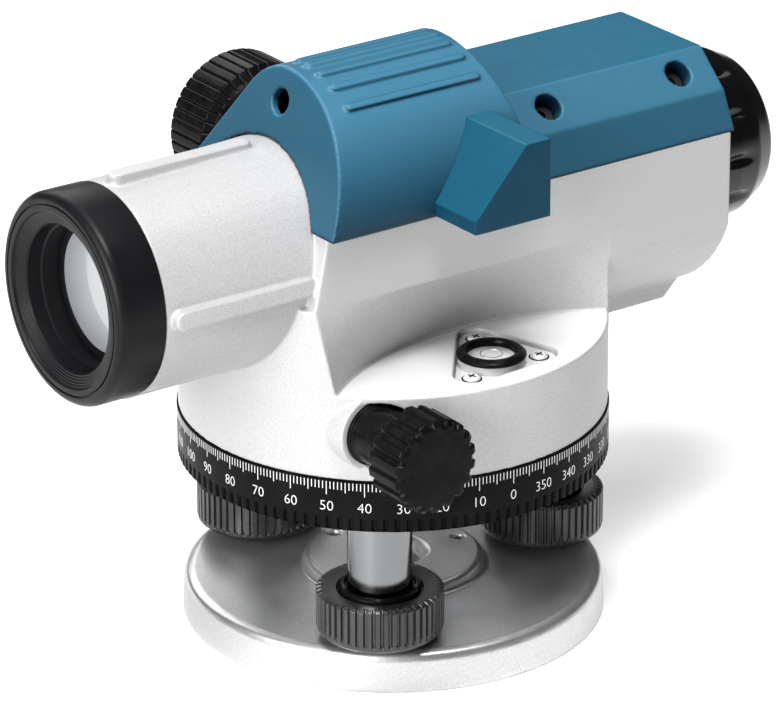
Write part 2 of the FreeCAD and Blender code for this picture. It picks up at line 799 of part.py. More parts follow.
def rear_shape():
    """The rear body's section, seen along the telescope: upright sides that curve in to a keel."""
    side = size("side_wall")
    top = size("cover_seat")
    turn_in = size("rear_curve_top")
    keel = size("keel_width") / 2
    keel_top = size("keel_top")
    x = size("rear_start")
    near = [Vector(x, -side, top), Vector(x, -side, turn_in),
            Vector(x, -size("rear_curve_side"), size("rear_curve_middle")), Vector(x, -keel, keel_top)]
    far = [Vector(x, -point.y, point.z) for point in near]
    edges = [Part.makeLine(near[0], near[1]), Part.Arc(*near[1:]).toShape(),
             Part.makeLine(near[3], far[3]), Part.Arc(*far[:0:-1]).toShape(),
             Part.makeLine(far[1], far[0]), Part.makeLine(far[0], near[0])]
    face = Part.Face(Part.Wire(edges))
    return face.extrude(Vector(size("housing_end") - x, 0, 0))


def keel_shape():
    width = size("keel_width")
    low = size("keel_bottom")
    high = size("keel_top") + 1
    end = size("keel_end")
    start = size("rear_start")
    corners = [Vector(start, -width / 2, low), Vector(end - size("keel_slant"), -width / 2, low),
               Vector(end, -width / 2, high), Vector(start, -width / 2, high)]
    face = Part.Face(Part.makePolygon(corners + corners[:1]))
    return face.extrude(Vector(0, width, 0))


def tube_rib(index):
    """A round-ended rib along the tube; the four stand a quarter turn apart."""
    reach = "tube_radius + tube_rib_height"
    half = "tube_rib_width / 2"
    bar = block(f"tube_rib_bar_{index}", ("tube_rib_front + tube_rib_width / 2", f"-{half}", "0"),
                ("tube_rib_back - tube_rib_width / 2", half, reach))
    ends = [cylinder(f"tube_rib_end_{index}_{end}", half, reach, where)
            for end, where in (("front", f"tube_rib_front + {half}"), ("back", f"tube_rib_back - {half}"))]
    rib = fused(f"tube_rib_{index}", bar, *ends)
    rib.Placement = Placement(Vector(0, 0, size("axis_height")), Rotation(Vector(1, 0, 0), 90 * index))
    return rib


def pocket_shape(shrink, bottom, top):
    """A triangle with round corners around the bubble's three screws."""
    corners = [Vector(x, y, bottom) for x, y in BUBBLE_SCREWS]
    wire = Part.makePolygon(corners + corners[:1])
    outline = wire.makeOffset2D(size("pocket_round") - shrink)
    return Part.Face(outline).extrude(Vector(0, 0, top - bottom))


def drum_posts():
    posts = []
    for index, angle in enumerate(DRUM_POST_ANGLES):
        posts.append(cylinder(f"post_{index}", "post_radius", "shelf_underside - drum_plate_top + 0.5",
                              f"post_circle * cos({angle})", f"post_circle * sin({angle})",
                              "drum_plate_top"))
    return posts


def screw_bores():
    bores = []
    for index, angle in enumerate(DRUM_POST_ANGLES):
        bores.append(cylinder(f"post_bore_{index}", "drum_screw_radius", "drum_screw_top - drum_bottom",
                              f"post_circle * cos({angle})", f"post_circle * sin({angle})", "drum_bottom"))
    for index, (x, y) in enumerate(BUBBLE_SCREWS):
        bores.append(cylinder(f"bubble_bore_{index}", "bubble_screw_radius + screw_hole_gap", "10",
                              x, y, "shelf_underside - 5"))
    return bores


def make_housing():
    tube = turned("tube", [(0, "tube_front"), ("tube_front_radius", "tube_front"),
                           ("tube_radius", "tube_back"), (0, "tube_back")], 0, 0, "axis_height", TO_REAR)
    outside = fused("housing_blank", make_drum_blank(), free_shape("rear_body", rear_shape()),
                    free_shape("keel", keel_shape()), tube, *[tube_rib(index) for index in range(4)])
    above = block("above_seat", ("cavity_front", "-drum_radius", "cover_seat"),
                  ("rear_end + 5", "drum_radius", "cover_seat + 40"))
    bore = cylinder("tube_hollow", "tube_bore", "cavity_front - tube_front", "tube_front", 0,
                    "axis_height", TO_REAR)
    drum = cylinder("drum_hollow", "drum_radius - drum_wall", "shelf_underside - drum_bottom",
                    0, 0, "drum_bottom")
    cavity = block("cavity", ("cavity_front", "-cavity_half_width", "crease_height"),
                   ("cavity_rear", "cavity_half_width", "cover_seat + 1"))
    well = block("well", ("cavity_front", "-well_half_width", "well_bottom"),
                 ("cavity_rear", "well_half_width", "crease_height"))
    eye = cylinder("eye_hole", "eye_tube_radius", "30", "cavity_rear - 5", 0, "axis_height", TO_REAR)
    cross = cylinder("bush_holes", "bush_spigot_radius", "2 * base_radius", "-worm_centre", "-base_radius",
                     "worm_height", TO_FAR)
    sinks = bush_bosses("bush_sink", "bush_sink_radius", "bush_seat", "bush_outer_end")
    focus = cylinder("focus_hole", "focus_bush_radius", "20", "focus_x", "side_wall - 10", "focus_z", TO_FAR)
    pocket = free_shape("pocket", pocket_shape(0, size("pocket_floor"), size("shelf_height") + 1))
    niche_x, niche_y = BUBBLE_SCREWS[2]
    niche = cylinder("niche", "pocket_round", "niche_top - pocket_floor", niche_x, niche_y, "pocket_floor")
    cup = cylinder("cup_hole", "bubble_cup_radius", "10", "bubble_x", "bubble_y", "shelf_underside - 2")
    hollow = cut("housing_hollow", outside, above, bore, drum, cavity, well, eye, cross, focus,
                 pocket, niche, cup, *sinks)
    posted = fused("housing_posted", hollow, *drum_posts())
    return node("main_housing", cut("housing", posted, *screw_bores()))


def make_drum_plate():
    plate = turned("drum_plate_ring", ring_corners(
        "drum_plate_bore", "drum_radius - drum_wall", "drum_plate_bottom", "drum_plate_top"))
    holes = [cylinder(f"plate_hole_{index}", "drum_screw_radius * 2", "10",
                      f"post_circle * cos({angle})", f"post_circle * sin({angle})", "drum_bottom - 1")
             for index, angle in enumerate(DRUM_POST_ANGLES)]
    return node("drum_plate", cut("drum_plate_cut", plate, *holes))


def make_drum_screws():
    screws = [turned(f"drum_screw_{index}", [
        (0, "drum_plate_bottom + 0.2"), ("drum_screw_radius * 2", "drum_plate_bottom + 0.2"),
        ("drum_screw_radius * 2", "drum_plate_top"), ("drum_screw_radius", "drum_plate_top"),
        ("drum_screw_radius", "drum_screw_top"), (0, "drum_screw_top")],
        f"post_circle * cos({angle})", f"post_circle * sin({angle})")
        for index, angle in enumerate(DRUM_POST_ANGLES)]
    return node("drum_screws", fused("drum_screw_set", *screws))


# Objective

def make_objective():
    ring = turned("objective_ring_body", [
        ("ring_spigot_bore", "-ring_spigot"), ("tube_bore", "-ring_spigot"), ("tube_bore", 0),
        ("ring_radius", 0), ("ring_radius", "ring_length - 4.4"), ("ring_radius - 0.5", "ring_length - 2.3"),
        ("ring_radius - 1.7", "ring_length - 0.8"), ("ring_radius - 3.7", "ring_length"),
        ("ring_bore + 3.7", "ring_length"), ("ring_bore + 3.7", "ring_length - 0.8"),
        ("ring_bore + 1.9", "ring_length - 1.5"), ("ring_bore + 1.9", "ring_length - 2.1"),
        ("ring_bore", "ring_length - 2.5"), ("ring_bore", "ring_stop_length"),
        ("ring_stop_radius", "ring_stop_length"), ("ring_stop_radius", 0), ("ring_spigot_bore", 0)],
        "tube_front", 0, "axis_height", TO_FRONT)
    node("objective_ring", ring)
    cell = turned("objective_cell_body", [
        ("cell_bore", "cell_front"), ("ring_spigot_bore", "cell_front"),
        ("ring_spigot_bore", "cell_shoulder"), ("tube_bore", "cell_shoulder"),
        ("tube_bore", "cell_back"), ("cell_bore - 2", "cell_back"), ("cell_bore - 2", "second_lens_back"),
        ("cell_bore", "second_lens_back")], 0, 0, "axis_height", TO_REAR)
    node("objective_cell", cell)
    node("objective_lens_front", lens("crown", "cell_bore", "lens_sag", "lens_front", "lens_back"))
    node("objective_lens_rear", lens("flint", "cell_bore", "lens_sag / 2", "second_lens_front",
                                     "second_lens_back"))


# Focusing

def make_focus_knob():
    length = "focus_knob_end - focus_knob_start"
    knob = turned("focus_knob_body", [
        ("focus_shaft_radius", 0), ("focus_knob_radius - 3", 0), ("focus_knob_radius - 1.8", 1.5),
        ("focus_knob_radius", 3), ("focus_knob_radius", f"{length} - 2.5"),
        ("focus_knob_radius - 2", f"{length} - 0.6"), ("focus_knob_radius - 4", length), (0, length),
        (0, "focus_shaft_end - focus_knob_start"),
        ("focus_shaft_radius", "focus_shaft_end - focus_knob_start")],
        "focus_x", "focus_knob_start", "focus_z", TO_FAR)
    round_holes(knob, "focus_knob_radius + focus_flute_radius * 0.4", "focus_flute_radius", "focus_ribs")
    node("focus_knob", knob)
    pinion = turned("focus_pinion_rod", [
        (0, "pinion_start"), ("pinion_radius", "pinion_start"), ("pinion_radius", "pinion_neck_end"),
        ("focus_shaft_radius", "pinion_neck_end"), ("focus_shaft_radius", "focus_shaft_end"),
        (0, "focus_shaft_end")], "focus_x", 0, "focus_z", TO_FAR)
    node("focus_pinion", pinion)
    bush = turned("focus_bush_ring", ring_corners(
        "focus_shaft_radius + running_gap", "focus_bush_radius", "focus_bush_start", "focus_bush_end"),
        "focus_x", 0, "focus_z", TO_FAR)
    node("focus_bush", bush)


def make_focus_guide():
    tube = turned("guide_tube", [
        ("guide_bore", "guide_front"), ("tube_bore", "guide_front"),
        ("tube_bore", "guide_front + guide_flange"), ("guide_radius", "guide_front + guide_flange"),
        ("guide_radius", "guide_back"), ("guide_bore", "guide_back")], 0, 0, "axis_height", TO_REAR)
    slot = block("guide_slot", ("slot_front", "-slot_width / 2", "axis_height"),
                 ("guide_back + 1", "slot_width / 2", "axis_height + guide_radius + 2"))
    return node("focus_guide", cut("focus_guide_cut", tube, slot))


def make_carriage():
    front = "(focus_x - carriage_length / 2)"
    tube = turned("carriage_tube", ring_corners(
        "carriage_bore", "carriage_radius", front, f"{front} + carriage_length"),
        0, 0, "axis_height", TO_REAR)
    rack = block("rack", ("focus_x - rack_length / 2", "-rack_width / 2", "rack_bottom"),
                 ("focus_x + rack_length / 2", "rack_width / 2", "rack_top"))
    node("focus_carriage", fused("focus_carriage_body", tube, rack))
    glass = lens("negative", "carriage_bore", "focus_lens_sag", "focus_x - focus_lens_thickness / 2",
                 "focus_x + focus_lens_thickness / 2")
    node("focus_lens", glass)


# Compensator

def comp_block(name, half_x, low_y, high_y, bottom, top):
    return block(name, (f"comp_x - ({half_x})", low_y, bottom), (f"comp_x + ({half_x})", high_y, top))


def make_compensator_frame():
    cheeks = [comp_block(f"cheek_{index}", "comp_length / 2", low, high, "comp_bottom", "comp_top")
              for index, (low, high) in enumerate((("-comp_outer", "-comp_inner"),
                                                   ("comp_inner", "comp_outer")))]
    floor = comp_block("comp_floor_plate", "comp_length / 2", "-comp_outer", "comp_outer",
                       "comp_bottom", "comp_floor")
    bridge = comp_block("comp_bridge", "comp_bridge_length / 2", "-comp_outer", "comp_outer",
                        "comp_bridge_bottom", "comp_top")
    return node("compensator_frame", fused("compensator_frame_body", floor, bridge, *cheeks))


def make_prism(name, side):
    """A fixed prism; its sloping face turns the beam down to the pendulum mirror, or back from it."""
    y = size("prism_half_width")
    far = size("comp_x") + side * size("prism_far")
    near = size("comp_x") + side * size("prism_near")
    low = size("prism_bottom")
    high = size("prism_top")
    corners = [Vector(far, -y, low), Vector(near, -y, low), Vector(far, -y, high)]
    face = Part.Face(Part.makePolygon(corners + corners[:1]))
    return node(name, free_shape(name + "_glass", face.extrude(Vector(0, 2 * y, 0))))


def make_pendulum():
    arms = [comp_block(f"arm_{index}", "arm_length / 2", low, high, "tray_bottom", "pendulum_top")
            for index, (low, high) in enumerate((("-arm_outer", "-arm_inner"), ("arm_inner", "arm_outer")))]
    bar = comp_block("pendulum_bar", "arm_length / 2", "-arm_outer", "arm_outer",
                     "pendulum_bar_bottom", "pendulum_top")
    tray = comp_block("tray", "tray_length / 2", "-arm_outer", "arm_outer", "tray_bottom", "tray_top")
    vane = comp_block("vane", "vane_length / 2", "-vane_width / 2", "vane_width / 2",
                      "vane_bottom", "tray_bottom")
    node("pendulum_frame", fused("pendulum_frame_body", bar, tray, vane, *arms))
    mirror = comp_block("mirror_plate", "mirror_length / 2", "-mirror_width / 2", "mirror_width / 2",
                        "tray_top", "tray_top + mirror_thickness")
    node("pendulum_mirror", mirror)


def make_damper_magnets():
    magnets = []
    for index, side in enumerate((-1, 1)):
        reach = "vane_length / 2 + magnet_gap + magnet_length"
        inner = f"comp_x + {side} * (vane_length / 2 + magnet_gap)"
        outer = f"comp_x + {side} * ({reach})"
        low, high = (outer, inner) if side < 0 else (inner, outer)
        magnets.append(block(f"magnet_{index}", (low, "-vane_width / 2", "comp_floor"),
                             (high, "vane_width / 2", "magnet_top")))
    return node("damper_magnets", fused("damper_magnet_pair", *magnets))


# Reticle and eyepiece

def make_eyepiece():
    tube = turned("eye_tube", ring_corners("eye_bore", "eye_tube_radius", "eye_tube_front", "eye_tube_back"),
                  0, 0, "axis_height", TO_REAR)
    node("eyepiece_tube", tube)
    cell = turned("reticle_ring", ring_corners("reticle_bore", "eye_bore", "reticle_front", "reticle_back"),
                  0, 0, "axis_height", TO_REAR)
    node("reticle_cell", cell)
    glass = cylinder("reticle_disc", "reticle_bore", "reticle_thickness",
                     "reticle_front + (reticle_back - reticle_front - reticle_thickness) / 2", 0,
                     "axis_height", TO_REAR)
    node("reticle_glass", glass)
    barrel = turned("eye_cell_ring", ring_corners(
        "eye_lens_radius", "eye_cell_radius", "eye_cell_front", "eye_cell_back"),
        0, 0, "axis_height", TO_REAR)
    node("eyepiece_cell", barrel)
    node("eyepiece_lens", lens("eye", "eye_lens_radius", "eye_lens_sag", "eye_cell_back - 9",
                               "eye_cell_back - 2"))


def make_eyepiece_cap():
    bore = "eye_tube_radius + running_gap"
    length = "eye_cap_end - eye_cap_start"
    cap = turned("eyepiece_cap_body", [
        (bore, 0), ("eye_cap_radius - 2.4", 0), ("eye_cap_radius - 0.8", 2.2),
        ("eye_cap_radius", 7), ("eye_cap_radius", f"{length} - 9"),
        ("eye_cap_radius - 0.9", f"{length} - 6"), ("eye_cap_radius - 3.4", f"{length} - 3"),
        ("eye_cap_radius - 7.5", f"{length} - 0.9"), ("eye_cap_radius - 12.5", length),
        ("eye_hole_radius", f"{length} - 1.5"), ("eye_hole_radius", f"{length} - 6"),
        (bore, f"{length} - 6")], "eye_cap_start", 0, "axis_height", TO_REAR)
    round_holes(cap, "eye_cap_radius + eye_flute_radius * 0.66", "eye_flute_radius", "eye_flutes",
                "11", 0)
    return node("eyepiece_cap", cap)


# Cover

def dome_shape(inset, front, rear):
    """The domed part: a round near side, a rounded crest and a straight far slope beside the focus knob."""
    low = size("cover_seat")
    radius = size("dome_arc_radius") - inset
    centre = Vector(front, 0, size("dome_arc_height"))
    foot_angle = math.asin((low - centre.z) / radius)
    crest_radius = size("dome_crest_radius") - inset
    crest_centre = Vector(front, 0, centre.z + radius - crest_radius)
    slope = math.radians(size("dome_far_slope"))
    foot = centre - Vector(0, math.cos(foot_angle), -math.sin(foot_angle)) * radius
    side = centre + Vector(0, -1, 1).normalize() * radius
    top = centre + Vector(0, 0, radius)
    bend = crest_centre + Vector(0, math.sin(slope / 2), math.cos(slope / 2)) * crest_radius
    edge = crest_centre + Vector(0, math.sin(slope), math.cos(slope)) * crest_radius
    far_foot = edge + Vector(0, math.cos(slope), -math.sin(slope)) * ((edge.z - low) / math.sin(slope))
    edges = [Part.Arc(foot, side, top).toShape(), Part.Arc(top, bend, edge).toShape(),
             Part.makeLine(edge, far_foot), Part.makeLine(far_foot, foot)]
    return Part.Face(Part.Wire(edges)).extrude(Vector(rear - front, 0, 0))


def block_shape(inset, front, rear):
    """The flat-topped rear part with its two long chamfers."""
    low = size("cover_seat")
    half = size("block_top_half") - inset * 0.4
    chamfer = size("block_chamfer_half") - inset * 0.9
    side = size("side_wall") - inset
    top = size("block_top") - inset
    mid = size("block_chamfer_height") - inset * 0.4
    near = [Vector(front, -side, low), Vector(front, -chamfer, mid), Vector(front, -half, top)]
    far = [Vector(front, -point.y, point.z) for point in reversed(near)]
    corners = near + far
    return Part.Face(Part.makePolygon(corners + corners[:1])).extrude(Vector(rear - front, 0, 0))


def dome_between(name, inset):
    """The dome with both end faces leaning towards each other, a wall's thickness inside the outer one."""
    seat = size("cover_seat")
    front = Vector(size("dome_front") + inset, 0, seat)
    rear = Vector(size("dome_rear") - inset, 0, seat)
    solid = free_shape(name + "_solid", dome_shape(inset, front.x, rear.x))
    return cut(name, solid, leaning_cut(name + "_front_lean", front, size("dome_lean_angle")),
               leaning_cut(name + "_rear_lean", rear, -size("dome_rear_lean_angle")))


def dome_rib(index, angle):
    """A round-ended rib along the dome; the ribs fan out from the top towards the near side."""
    half = "dome_rib_width / 2"
    reach = "dome_arc_radius + dome_rib_height"
    root = "dome_arc_radius - 5"
    bar = block(f"dome_rib_bar_{index}", (f"dome_rib_front + {half}", f"-{half}", root),
                (f"dome_rib_rear - {half}", half, reach))
    ends = [cylinder(f"dome_rib_end_{index}_{end}", half, "dome_rib_height + 5", where, 0, root)
            for end, where in (("front", f"dome_rib_front + {half}"), ("back", f"dome_rib_rear - {half}"))]
    rib = fused(f"dome_rib_{index}", bar, *ends)
    turn = Rotation(Vector(1, 0, 0), angle)
    rib.Placement = Placement(Vector(0, 0, size("dome_arc_height")), turn)
    return rib


def cover_screw_frames():
    """Where each cover screw's mouth is, and how far it leans from upright about X."""
    side = size("cover_screw_side")
    height = size("cover_screw_height")
    angle = size("cover_screw_angle")
    places = []
    for x in (size("cover_screw_front"), size("cover_screw_rear")):
        places.append((Vector(x, -side, height), Rotation(Vector(1, 0, 0), angle)))
        places.append((Vector(x, side, height), Rotation(Vector(1, 0, 0), -angle)))
    return places


def along_screw(name, radius, low, high, frame):
    rod = doc.addObject("Part::Cylinder", name)
    rod.setExpression("Radius", bound(radius))
    rod.Height = high - low
    mouth, turn = frame
    rod.Placement = Placement(mouth + turn.multVec(Vector(0, 0, low)), turn)
    return rod


def make_cover():
    wall = size("cover_wall")
    dome = dome_between("dome", 0)
    rear = free_shape("block_solid", block_shape(0, size("block_start"), size("rear_end")))
    ribs = [dome_rib(index, angle) for index, angle in enumerate(DOME_RIB_ANGLES)]
    outside = fused("cover_blank", dome, rear, *ribs)
    dome_hollow = dome_between("dome_core", wall)
    rear_hollow = free_shape("block_core", block_shape(wall, size("block_start") - wall,
                                                       size("rear_end") - wall))
    tube = cylinder("tube_passage", "tube_radius + cover_gap", "tube_back - dome_front + 10",
                    "dome_front - 5", 0, "axis_height", TO_REAR)
    bush = cylinder("bush_passage", "focus_bush_radius", "focus_bush_end - focus_bush_start + 10",
                    "focus_x", "focus_bush_start", "focus_z", TO_FAR)
    shell = cut("cover_shell", outside, dome_hollow, rear_hollow, tube, bush)
    frames = cover_screw_frames()
    depth = size("cover_screw_depth")
    posts = [along_screw(f"cover_post_{i}", "cover_screw_well + 1.6", -depth - 4, -1.2, frame)
             for i, frame in enumerate(frames)]
    wells = [along_screw(f"cover_well_{i}", "cover_screw_well", -depth, 5, frame)
             for i, frame in enumerate(frames)]
    bores = [along_screw(f"cover_bore_{i}", "cover_screw_shank", -depth - 5, -depth + 0.1, frame)
             for i, frame in enumerate(frames)]
    posted = fused("cover_posted", shell, *posts)
    return node("top_cover", cut("cover", posted, *wells, *bores, sight_hole()))


def sight_hole():
    """The aiming sight's round opening, square to the dome's leaning front face."""
    angle = size("dome_lean_angle")
    height = size("sight_hole_z")
    x = size("dome_front") + (height - size("cover_seat")) * math.tan(math.radians(angle))
    inward = Vector(math.cos(math.radians(angle)), 0, -math.sin(math.radians(angle)))
    hole = free_shape("sight_hole", Part.makeCylinder(
        size("sight_hole_radius"), 3 * size("cover_wall"),
        Vector(x, size("sight_hole_y"), height) - inward * size("cover_wall"), inward))
    return hole


def make_cover_screws():
    solids = []
    depth = size("cover_screw_depth")
    for index, frame in enumerate(cover_screw_frames()):
        head = along_screw(f"cover_head_{index}", "cover_screw_head", -depth, -depth + 2, frame)
        shank = along_screw(f"cover_shank_{index}", "cover_screw_shank", -depth - 4, -depth + 1, frame)
        socket = along_screw(f"cover_socket_{index}", "cover_screw_socket", -depth + 0.8, 0, frame)
        solids.append(cut(f"cover_screw_{index}", fused(f"cover_screw_blank_{index}", head, shank), socket))
    return node("cover_screws", fused("cover_screw_set", *solids))


# Mirror hood and bubble

def hood_outline(inset, drop, back):
    """The hood seen from its side: a steep front lip, a slope at about 49 degrees and a level crest."""
    front = size("hood_front") + inset
    rear = size("hood_rear") + back
    bottom = size("hood_bottom") - drop
    slope = (size("hood_top") - size("hood_lip")) / (size("hood_crest") - size("hood_front"))
    shift = inset * math.sqrt(1 + slope ** 2)
    lip = size("hood_lip") + slope * inset - shift
    top = size("hood_top") - inset
    crest = size("hood_front") + (top - size("hood_lip") + shift) / slope
    return [(front, bottom), (front, lip), (crest, top), (rear, top), (rear, bottom)]


def hood_solid(outline, near, far):
    corners = [Vector(x, near, z) for x, z in outline]
    return Part.Face(Part.makePolygon(corners + corners[:1])).extrude(Vector(0, far - near, 0))


def make_hood():
    wall = size("hood_wall")
    side = -size("hood_side")
    back = -size("hood_back")
    shell = hood_solid(hood_outline(0, 0, 0), side, back + size("dome_arc_radius") / 2)
    hollow = hood_solid(hood_outline(wall, 1, 1), side + wall, back)
    dome = cylinder("hood_seat", "dome_arc_radius", "dome_rear - dome_front", "dome_front", 0,
                    "dome_arc_height", TO_REAR)
    blank = free_shape("hood_blank", shell)
    node("mirror_hood", cut("hood", blank, free_shape("hood_core", hollow), dome))
    front, lip, crest = [Vector(x, 0, z) for x, z in hood_outline(wall, 0, 0)[:3]]
    along = (crest - lip).normalize()
    inward = Vector(along.z, 0, -along.x) * size("glass_thickness")
    low = lip + along * 0.5
    high = crest - along * 1.5
    start = Vector(0, side + wall + 0.5, 0)
    corners = [point + start for point in (low, high, high + inward, low + inward)]
    face = Part.Face(Part.makePolygon(corners + corners[:1]))
    width = back - side - wall - 1.0
    node("bubble_mirror", free_shape("bubble_mirror_glass", face.extrude(Vector(0, width, 0))))


def make_bubble():
    x = "bubble_x"
    y = "bubble_y"
    cup = turned("bubble_cup_body", [
        (0, "bubble_cup_bottom"), ("bubble_cup_radius", "bubble_cup_bottom"),
        ("bubble_cup_radius", "bubble_plate_top"), ("bubble_glass_radius", "bubble_plate_top"),
        ("bubble_glass_radius", "bubble_glass_bottom"), (0, "bubble_glass_bottom")], x, y)
    plate = free_shape("bubble_plate", pocket_shape(size("pocket_gap"), size("pocket_floor"),
                                                    size("bubble_plate_top")))
    hole = cylinder("plate_opening", "bubble_cup_radius - 0.5", "10", x, y, "pocket_floor - 5")
    bores = [cylinder(f"plate_bore_{index}", "bubble_screw_radius + screw_hole_gap", "10", sx, sy,
                      "pocket_floor - 5") for index, (sx, sy) in enumerate(BUBBLE_SCREWS)]
    node("bubble_cup", fused("bubble_cup_joined", cup, cut("bubble_plate_cut", plate, hole, *bores)))
    glass = turned("bubble_glass_body", [
        (0, "bubble_glass_bottom"), ("bubble_glass_radius", "bubble_glass_bottom"),
        ("bubble_glass_radius", "bubble_glass_top - 0.4"), ("bubble_window_radius", "bubble_glass_top"),
        (0, "bubble_glass_top")], x, y)
    node("bubble_glass", glass)
    rim = turned("bubble_rim_ring", [
        ("bubble_glass_radius", "bubble_plate_top"), ("bubble_rim_radius", "bubble_plate_top"),
        ("bubble_rim_radius", "bubble_rim_top - 0.7"), ("bubble_rim_radius - 0.8", "bubble_rim_top"),
        ("bubble_window_radius + 0.6", "bubble_rim_top"), ("bubble_window_radius", "bubble_rim_top - 0.6"),
        ("bubble_window_radius", "bubble_glass_top"), ("bubble_glass_radius", "bubble_glass_top - 0.4")], x, y)
    node("bubble_rim", rim)
    screws = []
    for index, (sx, sy) in enumerate(BUBBLE_SCREWS):
        screws.append(turned(f"bubble_screw_{index}", [
            (0, "shelf_underside - 3"), ("bubble_screw_radius", "shelf_underside - 3"),
            ("bubble_screw_radius", "bubble_plate_top"), ("bubble_screw_head", "bubble_plate_top"),
            ("bubble_screw_head", "bubble_screw_top"), (0.9, "bubble_screw_top"),
            (0.9, "bubble_plate_top"), (0, "bubble_plate_top")], sx, sy))
    node("bubble_screws", fused("bubble_screw_set", *screws))


def check_and_write():
    doc.recompute()
    for thing in doc.Objects:
        if "Invalid" in thing.State or "Error" in thing.State:
            raise RuntimeError(f"{thing.Name} did not build: {thing.State}")
    for name, thing in nodes.items():
        if thing.Shape.isNull() or not thing.Shape.isValid() or not thing.Shape.Solids:
            raise RuntimeError(f"{name} is not a valid solid")
    os.makedirs("parts", exist_ok=True)
    for name, thing in nodes.items():
        thing.Shape.exportStep(f"parts/{name}.step")
        print(f"{name}: {len(thing.Shape.Solids)} solids, {thing.Shape.Volume / 1000:.2f} cm3")


def build():
    fill_sheet()
    make_base_plate()
    make_spring_plate()
    make_spring_screws()
    for number in FOOT_NUMBERS:
        make_foot_knob(number)
        make_foot_spindle(number)
        make_foot_collar(number)
        make_foot_sleeve(number)
    make_tribrach()
    make_circle()
    make_worm_wheel()
    make_clutch_washer()
    make_axis()
    make_worm_shaft()
    make_tangent_side("left", TO_NEAR, -1)
    make_tangent_side("right", TO_FAR, 1)
    make_housing()
    make_drum_plate()
    make_drum_screws()
    make_objective()
    make_focus_knob()
    make_focus_guide()
    make_carriage()
    make_compensator_frame()
    make_prism("prism_front", -1)
    make_prism("prism_rear", 1)
    make_pendulum()
    make_damper_magnets()
    make_eyepiece()
    make_eyepiece_cap()
    make_cover()
    make_cover_screws()
    make_hood()
    make_bubble()
    check_and_write()


build()
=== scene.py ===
"""Looks of the automatic level: soft-edged castings, moulded knobs, engraved circle, optics and studio.

The telescope lies along X with its objective towards -X, the bubble side is -Y and +Z is up.
Outlines and the sizes that go into them are millimetres. Whatever is multiplied by MM, and everything that
Blender gets, is in metres.
"""
import math

import bmesh
import bpy
from mathutils import Matrix, Vector


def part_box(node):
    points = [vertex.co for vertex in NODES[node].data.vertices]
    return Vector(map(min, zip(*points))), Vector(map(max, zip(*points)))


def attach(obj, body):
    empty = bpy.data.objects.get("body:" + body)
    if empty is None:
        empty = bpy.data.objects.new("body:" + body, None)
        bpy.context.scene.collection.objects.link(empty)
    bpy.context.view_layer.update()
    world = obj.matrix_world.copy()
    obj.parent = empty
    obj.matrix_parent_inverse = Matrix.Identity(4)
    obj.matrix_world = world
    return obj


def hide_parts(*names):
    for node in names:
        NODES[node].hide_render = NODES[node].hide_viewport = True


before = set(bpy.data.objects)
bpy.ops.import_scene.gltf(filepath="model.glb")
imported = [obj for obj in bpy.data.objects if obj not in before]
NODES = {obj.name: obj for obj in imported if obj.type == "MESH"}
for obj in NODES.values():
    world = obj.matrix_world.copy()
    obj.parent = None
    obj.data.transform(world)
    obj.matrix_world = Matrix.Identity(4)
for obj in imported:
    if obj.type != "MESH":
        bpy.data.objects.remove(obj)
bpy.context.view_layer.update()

MM = 0.001
FULL_TURN = 2 * math.pi
ON_AXIS = 0.02  # millimetres: the closed end of a turned outline, just off the axis
SHELF_HEIGHT = 81.8 * MM
SHELF_REACH = 2.4 * MM
# share of white painted onto the shelf's up-facing faces: painted light
SHELF_PAINTED_LIGHT = 0.7
FLAKE_SIZE = 0.30 * MM
GRAIN_SIZE = 0.3 * MM


# ---------------------------------------------------------------- materials

